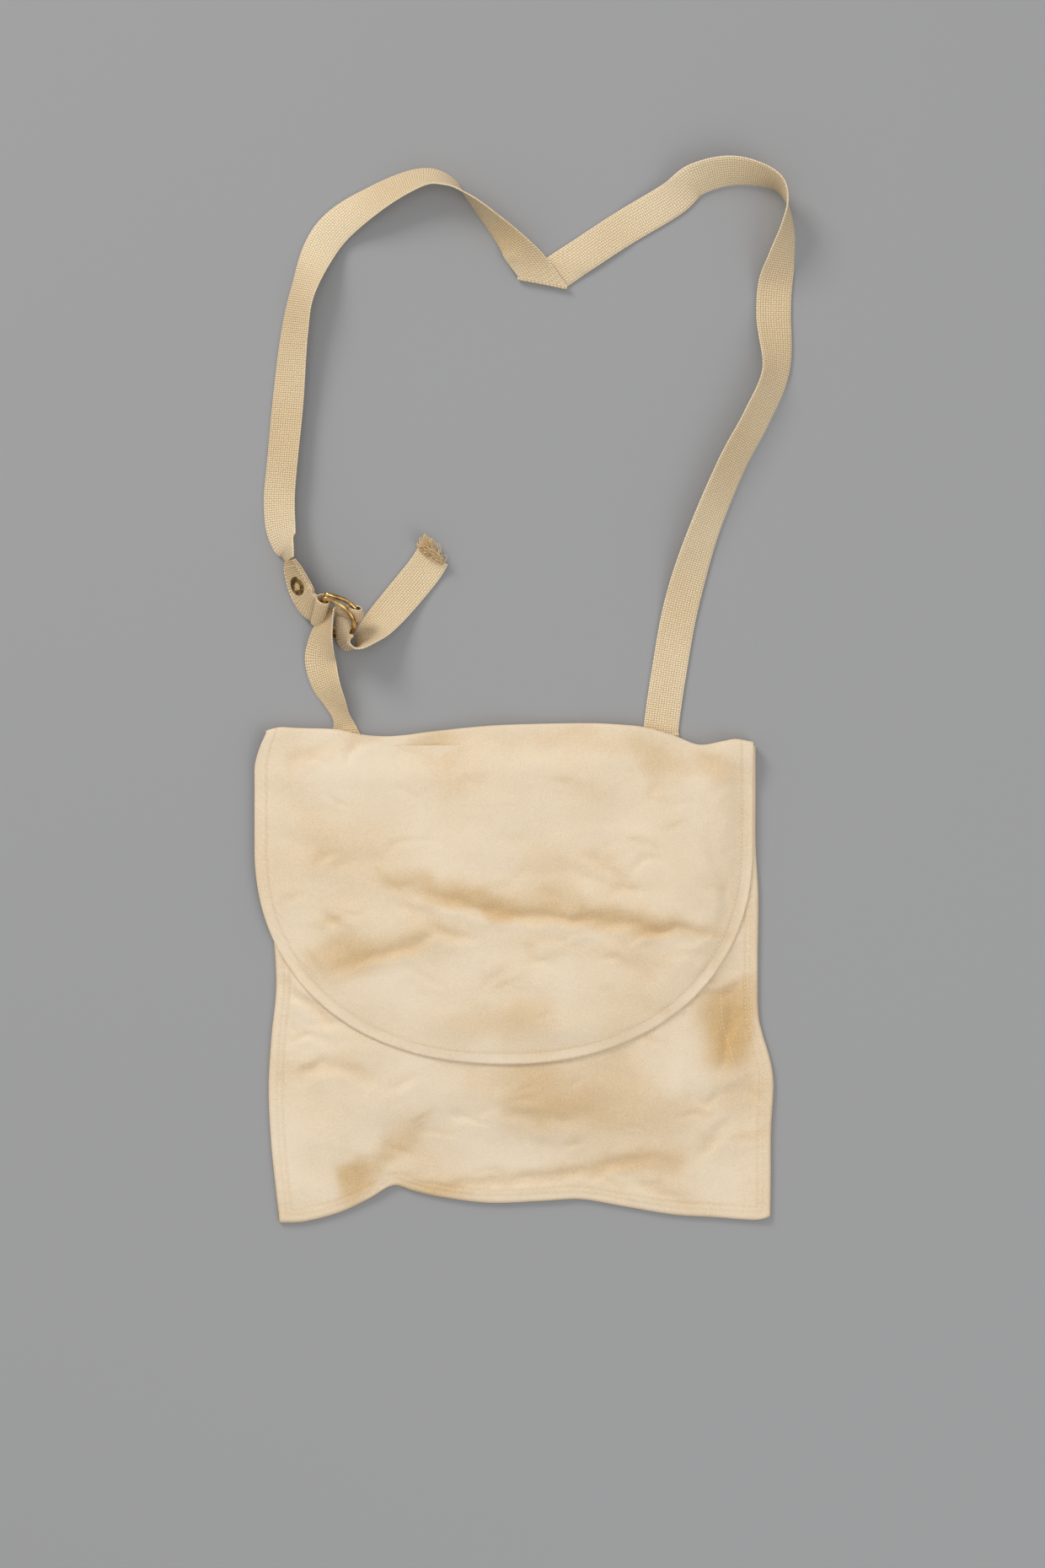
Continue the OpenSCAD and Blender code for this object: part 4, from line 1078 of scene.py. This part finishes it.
top = top * (1 - near_fold) + over_fold(flat_x, flap_y) * near_fold
edge_roll = np.sqrt(np.clip(1 - (1 - np.clip(rim / 1.3, 0, 1)) ** 2, 0, 1))
top = top - 0.55 * (1 - edge_roll)
low = top - FLAP_T + 0.9 * (1 - edge_roll)
bend_a = np.linspace(np.pi / 2, -np.pi / 2, FOLD_ROWS + 1)[:, None]
first_top, first_y = top[:1], flap_y[:1]
fold_low = 0.7 + 1.35 * over_straps(flat_x[:1], first_y)
fold_r = (first_top - fold_low) / 2
fold_mid_z = fold_low + fold_r
reach = 2.2
fold_y_out = first_y + reach * np.cos(bend_a)
fold_z_out = fold_mid_z + fold_r * np.sin(bend_a)
inner_r = np.maximum(fold_r - FLAP_T * 0.9, 0.4)
fold_y_in = first_y + (reach - 1.2) * np.cos(bend_a)
fold_z_in = fold_mid_z + inner_r * np.sin(bend_a)
fold_x = np.repeat(flap_x[:1], FOLD_ROWS, axis=0)
all_x = np.r_[fold_x, flap_x]
outer = np.stack([all_x, np.r_[fold_y_out[:0:-1], flap_y], np.r_[fold_z_out[:0:-1], top]], -1) * MM
inner_low = np.r_[fold_z_in[:0:-1], np.minimum(low, np.r_[fold_z_in[:1], low[1:]])]
inner = np.stack([all_x, np.r_[fold_y_in[:0:-1], flap_y], inner_low], -1) * MM
flap = cloth_sheet("flap_canvas", outer, inner)
# Tint of the flap: painted shade in the creases, the stain and shade patches, slow random tone, slightly
# paler on the margin outside the topstitching, painted shade in the topstitch groove, and painted shade
# along the turned-under edge.
_, flap_tone = crease_field(flat_x, flap_y, FLAP_CREASES)
flap_tone = (flap_tone + patch_field(flat_x, flap_y, FLAP_STAIN_AND_SHADE_PATCHES)
             + 0.09 * ripples(flat_x, flap_y, 9, 50, 160, 33))
flap_age_and_shade = (0.04 + 0.60 * np.tanh(1.35 * flap_tone) - 0.02 * np.exp(-((rim - 4.5) / 3.5) ** 2)
            + 0.24 * np.exp(-((rim - STITCH_IN) / 0.8) ** 2) + 0.16 * np.exp(-(rim / 1.0) ** 2))
flap_age_and_shade = np.r_[np.repeat(flap_age_and_shade[:1], FOLD_ROWS, axis=0), flap_age_and_shade]
point_values(flap, "age_and_painted_light", np.r_[flap_age_and_shade.ravel(), flap_age_and_shade.ravel()])
flap.data.materials.append(canvas_finish)
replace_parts(flap, "flap_fold", "flap_outer", "flap_lining")
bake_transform(flap)

# ---------------------------------------------------------------------------
# Fastener patches: a square of looped tape sewn to the front, and one of hooks
# under the flap, so only the stitched rectangle shows on the flap's face.
# ---------------------------------------------------------------------------
PATCH_AT = np.array([-12.8, 7.3])
PATCH_SIZE = np.array([45.0, 28.0])
fastener_finish = cloth_finish("fastener_tape", linear(224, 208, 176), linear(180, 152, 108),
                               (0.0009, 0.0009), fleck=0.9, strength=0.9, height=0.0005)
patch_grid_x = PATCH_AT[0] + np.linspace(-0.5, 0.5, 24)[None, :] * PATCH_SIZE[0] + np.zeros((16, 1))
patch_grid_y = PATCH_AT[1] + np.linspace(-0.5, 0.5, 16)[:, None] * PATCH_SIZE[1] + np.zeros((1, 24))


def patch_tape(name, low_z, thick, replaced, body):
    """A patch of tape whose underside follows low_z, an array of heights in mm."""
    under = np.stack([patch_grid_x, patch_grid_y, low_z], -1) * MM
    tape = cloth_sheet(name, under + np.array([0, 0, thick * MM]), under)
    tape.data.materials.append(fastener_finish)
    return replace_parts(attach(tape, body), replaced)


patch_front = front_height(patch_grid_x, patch_grid_y)
patch_flap = flap_height(patch_grid_x, patch_grid_y, flap_rim(patch_grid_x, patch_grid_y))
patch_tape("loop_tape", patch_front - 0.05, 0.9, "loop_patch", "bag")
patch_tape("hook_tape", np.maximum(patch_flap - FLAP_T - 0.75, patch_front + 0.95), 0.8,
           "hook_patch", "flap")

# ---------------------------------------------------------------------------
# Stitching: every row is of separate lockstitches in cotton thread, each a short
# bead that dips into the cloth at both ends.
# ---------------------------------------------------------------------------
thread_finish = cloth_finish("cotton_thread", linear(252, 242, 220), linear(214, 186, 138),
                             (0.0004, 0.0004), fleck=0.3, strength=0.2)


def stitch_row(name, lines, pitch, long_share, radius, body, replaced):
    """Stitches along lines of points in metres. Each is a bead of three rings of five points
    between two tips, longer than it is wide, lying on the line."""
    angle = np.linspace(0, 2 * np.pi, 5, endpoint=False)
    points, faces, count = [], [], 0
    for line in lines:
        line = np.asarray(line, float)
        run = run_along(line)
        number = max(int(run[-1] / pitch), 1)
        middle = (np.arange(number) + 0.5) * run[-1] / number
        half = run[-1] / number * long_share / 2

        def along_line(s):
            return np.stack([np.interp(s, run, line[:, k]) for k in range(3)], -1)

        a, b, c = along_line(middle - half), along_line(middle), along_line(middle + half)
        t = unit(c - a)
        level = unit(np.cross([0.0, 0.0, 1.0], t) + 1e-9)
        up = np.cross(t, level)
        around = level[:, None] * np.cos(angle)[:, None] + up[:, None] * np.sin(angle)[:, None]
        drop = np.array([0, 0, -radius])
        rings = [(a + drop)[:, None], (a * 0.6 + b * 0.4)[:, None] + around * radius * 0.9,
                 b[:, None] + around * radius, (c * 0.6 + b * 0.4)[:, None] + around * radius * 0.9,
                 (c + drop)[:, None]]
        points.append(np.concatenate(rings, axis=1).reshape(-1, 3))
        one = [(0, 1 + (k + 1) % 5, 1 + k) for k in range(5)]
        one += [(1 + r * 5 + k, 1 + r * 5 + (k + 1) % 5, 6 + r * 5 + (k + 1) % 5, 6 + r * 5 + k)
                for r in range(2) for k in range(5)]
        one += [(16, 11 + k, 11 + (k + 1) % 5) for k in range(5)]
        for q in range(number):
            faces += [tuple(v + count + q * 17 for v in f) for f in one]
        count += number * 17
    obj = facing_out(set_mesh(name, np.concatenate(points), faces))
    obj.data.materials.append(thread_finish)
    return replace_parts(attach(obj, body), replaced)


def front_line(x, y, lift=0.12):
    """Points of a line in metres that lies on the front."""
    x, y = np.atleast_1d(x).astype(float), np.atleast_1d(y).astype(float)
    edge = edge_distance(x, y)
    rolled = np.sqrt(np.clip(1 - (1 - np.clip(edge / 1.6, 0, 1)) ** 2, 0, 1))
    return np.c_[x, y, front_height(x, y) - 1.2 * (1 - rolled) + lift] * MM


def flap_points(x, y, lift=0.12):
    """Points of a line in metres that lies on the flap's face."""
    return np.c_[x, y, flap_height(x, y, flap_rim(x, y)) + lift] * MM


seam_y = np.linspace(-168, 158, 260)
for side_name, outline, inward in (("left", LEFT_LINE, 1), ("right", RIGHT_LINE, -1)):
    edge_line = line_at(outline, seam_y)
    stitch_row(side_name + "_seam_stitches",
               [front_line(edge_line + inward * SEAM_OUTER, seam_y),
                front_line(edge_line + inward * SEAM_INNER, seam_y)],
               0.0029, 0.78, 0.00030, "bag", side_name + "_seam_thread")
    inner_y = np.linspace(-148, 158, 240)
    stitch_row(side_name + "_allowance_stitches",
               [front_line(line_at(outline, inner_y) + inward * ALLOWANCE, inner_y, 0.02)],
               0.0030, 0.7, 0.00022, "bag", side_name + "_allowance_thread")

round_a = np.linspace(-np.pi / 2, np.pi / 2, 400)
round_x = FLAP_MID + (FLAP_HALF - STITCH_IN) * np.sin(round_a)
round_n = np.clip(abs(np.sin(round_a)), 0, 1)
round_y = FLAP_STRAIGHT - (FLAP_ROUND - STITCH_IN) * (1 - round_n ** FLAP_POWER) ** (1 / FLAP_POWER)
left_y = np.linspace(166, FLAP_STRAIGHT, 60)[:-1]
right_y = np.linspace(FLAP_STRAIGHT, 158, 60)[1:]
stitch_x = np.r_[np.full(59, round_x[0]) + drawn_in(left_y), round_x, np.full(59, round_x[-1])]
stitch_y = np.r_[left_y, round_y, right_y]
flat_stitch_x = np.r_[np.full(59, round_x[0]), round_x, np.full(59, round_x[-1])]
flap_line_z = flap_height(flat_stitch_x, stitch_y, flap_rim(flat_stitch_x, stitch_y))
fold_share = fold_part(flat_stitch_x, stitch_y)
flap_line_z = flap_line_z * (1 - fold_share) + over_fold(flat_stitch_x, stitch_y) * fold_share
stitch_row("flap_edge_stitches", [np.c_[stitch_x, stitch_y, flap_line_z + 0.15] * MM],
           0.0030, 0.78, 0.00030, "flap", "flap_edge_thread")

rect = PATCH_AT + PATCH_SIZE / 2 * np.array([[-1, -1], [1, -1], [1, 1], [-1, 1], [-1, -1]])
rect_lines = []
for a, b in zip(rect[:-1], rect[1:]):
    part = a + (b - a) * np.linspace(0, 1, 20)[:, None]
    rect_lines.append(flap_points(part[:, 0], part[:, 1]))
stitch_row("hook_tape_stitches", rect_lines, 0.0028, 0.75, 0.00028, "flap", "hook_patch_thread")

ANCHOR_Z = 3.6
for side_name, mid_x in (("left", -123.0), ("right", 106.0)):
    corners = [(-9.7, 150), (9.7, 150), (9.7, 169), (-9.7, 169), (-9.7, 150), (9.7, 169),
               (9.7, 150), (-9.7, 169)]
    anchor = [np.array([[mid_x + p[0], p[1], ANCHOR_Z], [mid_x + q[0], q[1], ANCHOR_Z]]) * MM
              for p, q in zip(corners[:-1], corners[1:])]
    stitch_row(side_name + "_anchor_stitches", anchor, 0.0029, 0.78, 0.0003, "bag",
               side_name + "_anchor_thread")

ON_TOP = WEB_T * 1.04 + 0.0002     # from the middle of the doubled end to its stitches
end_rows = []
for place in (6, 24):
    reach_v = np.linspace(-0.42, 0.42, 12)[:, None] * WEB_W
    end_rows.append(end_centre[place] + end_side[place] * reach_v + end_face[place] * ON_TOP)
for edge in (-0.43, 0.43):
    span = slice(6, 25)
    end_rows.append(end_centre[span] + end_side[span] * edge * WEB_W + end_face[span] * ON_TOP)
stitch_row("buckle_end_stitches", end_rows, 0.0026, 0.78, 0.0003, "bag", "loop_thread")
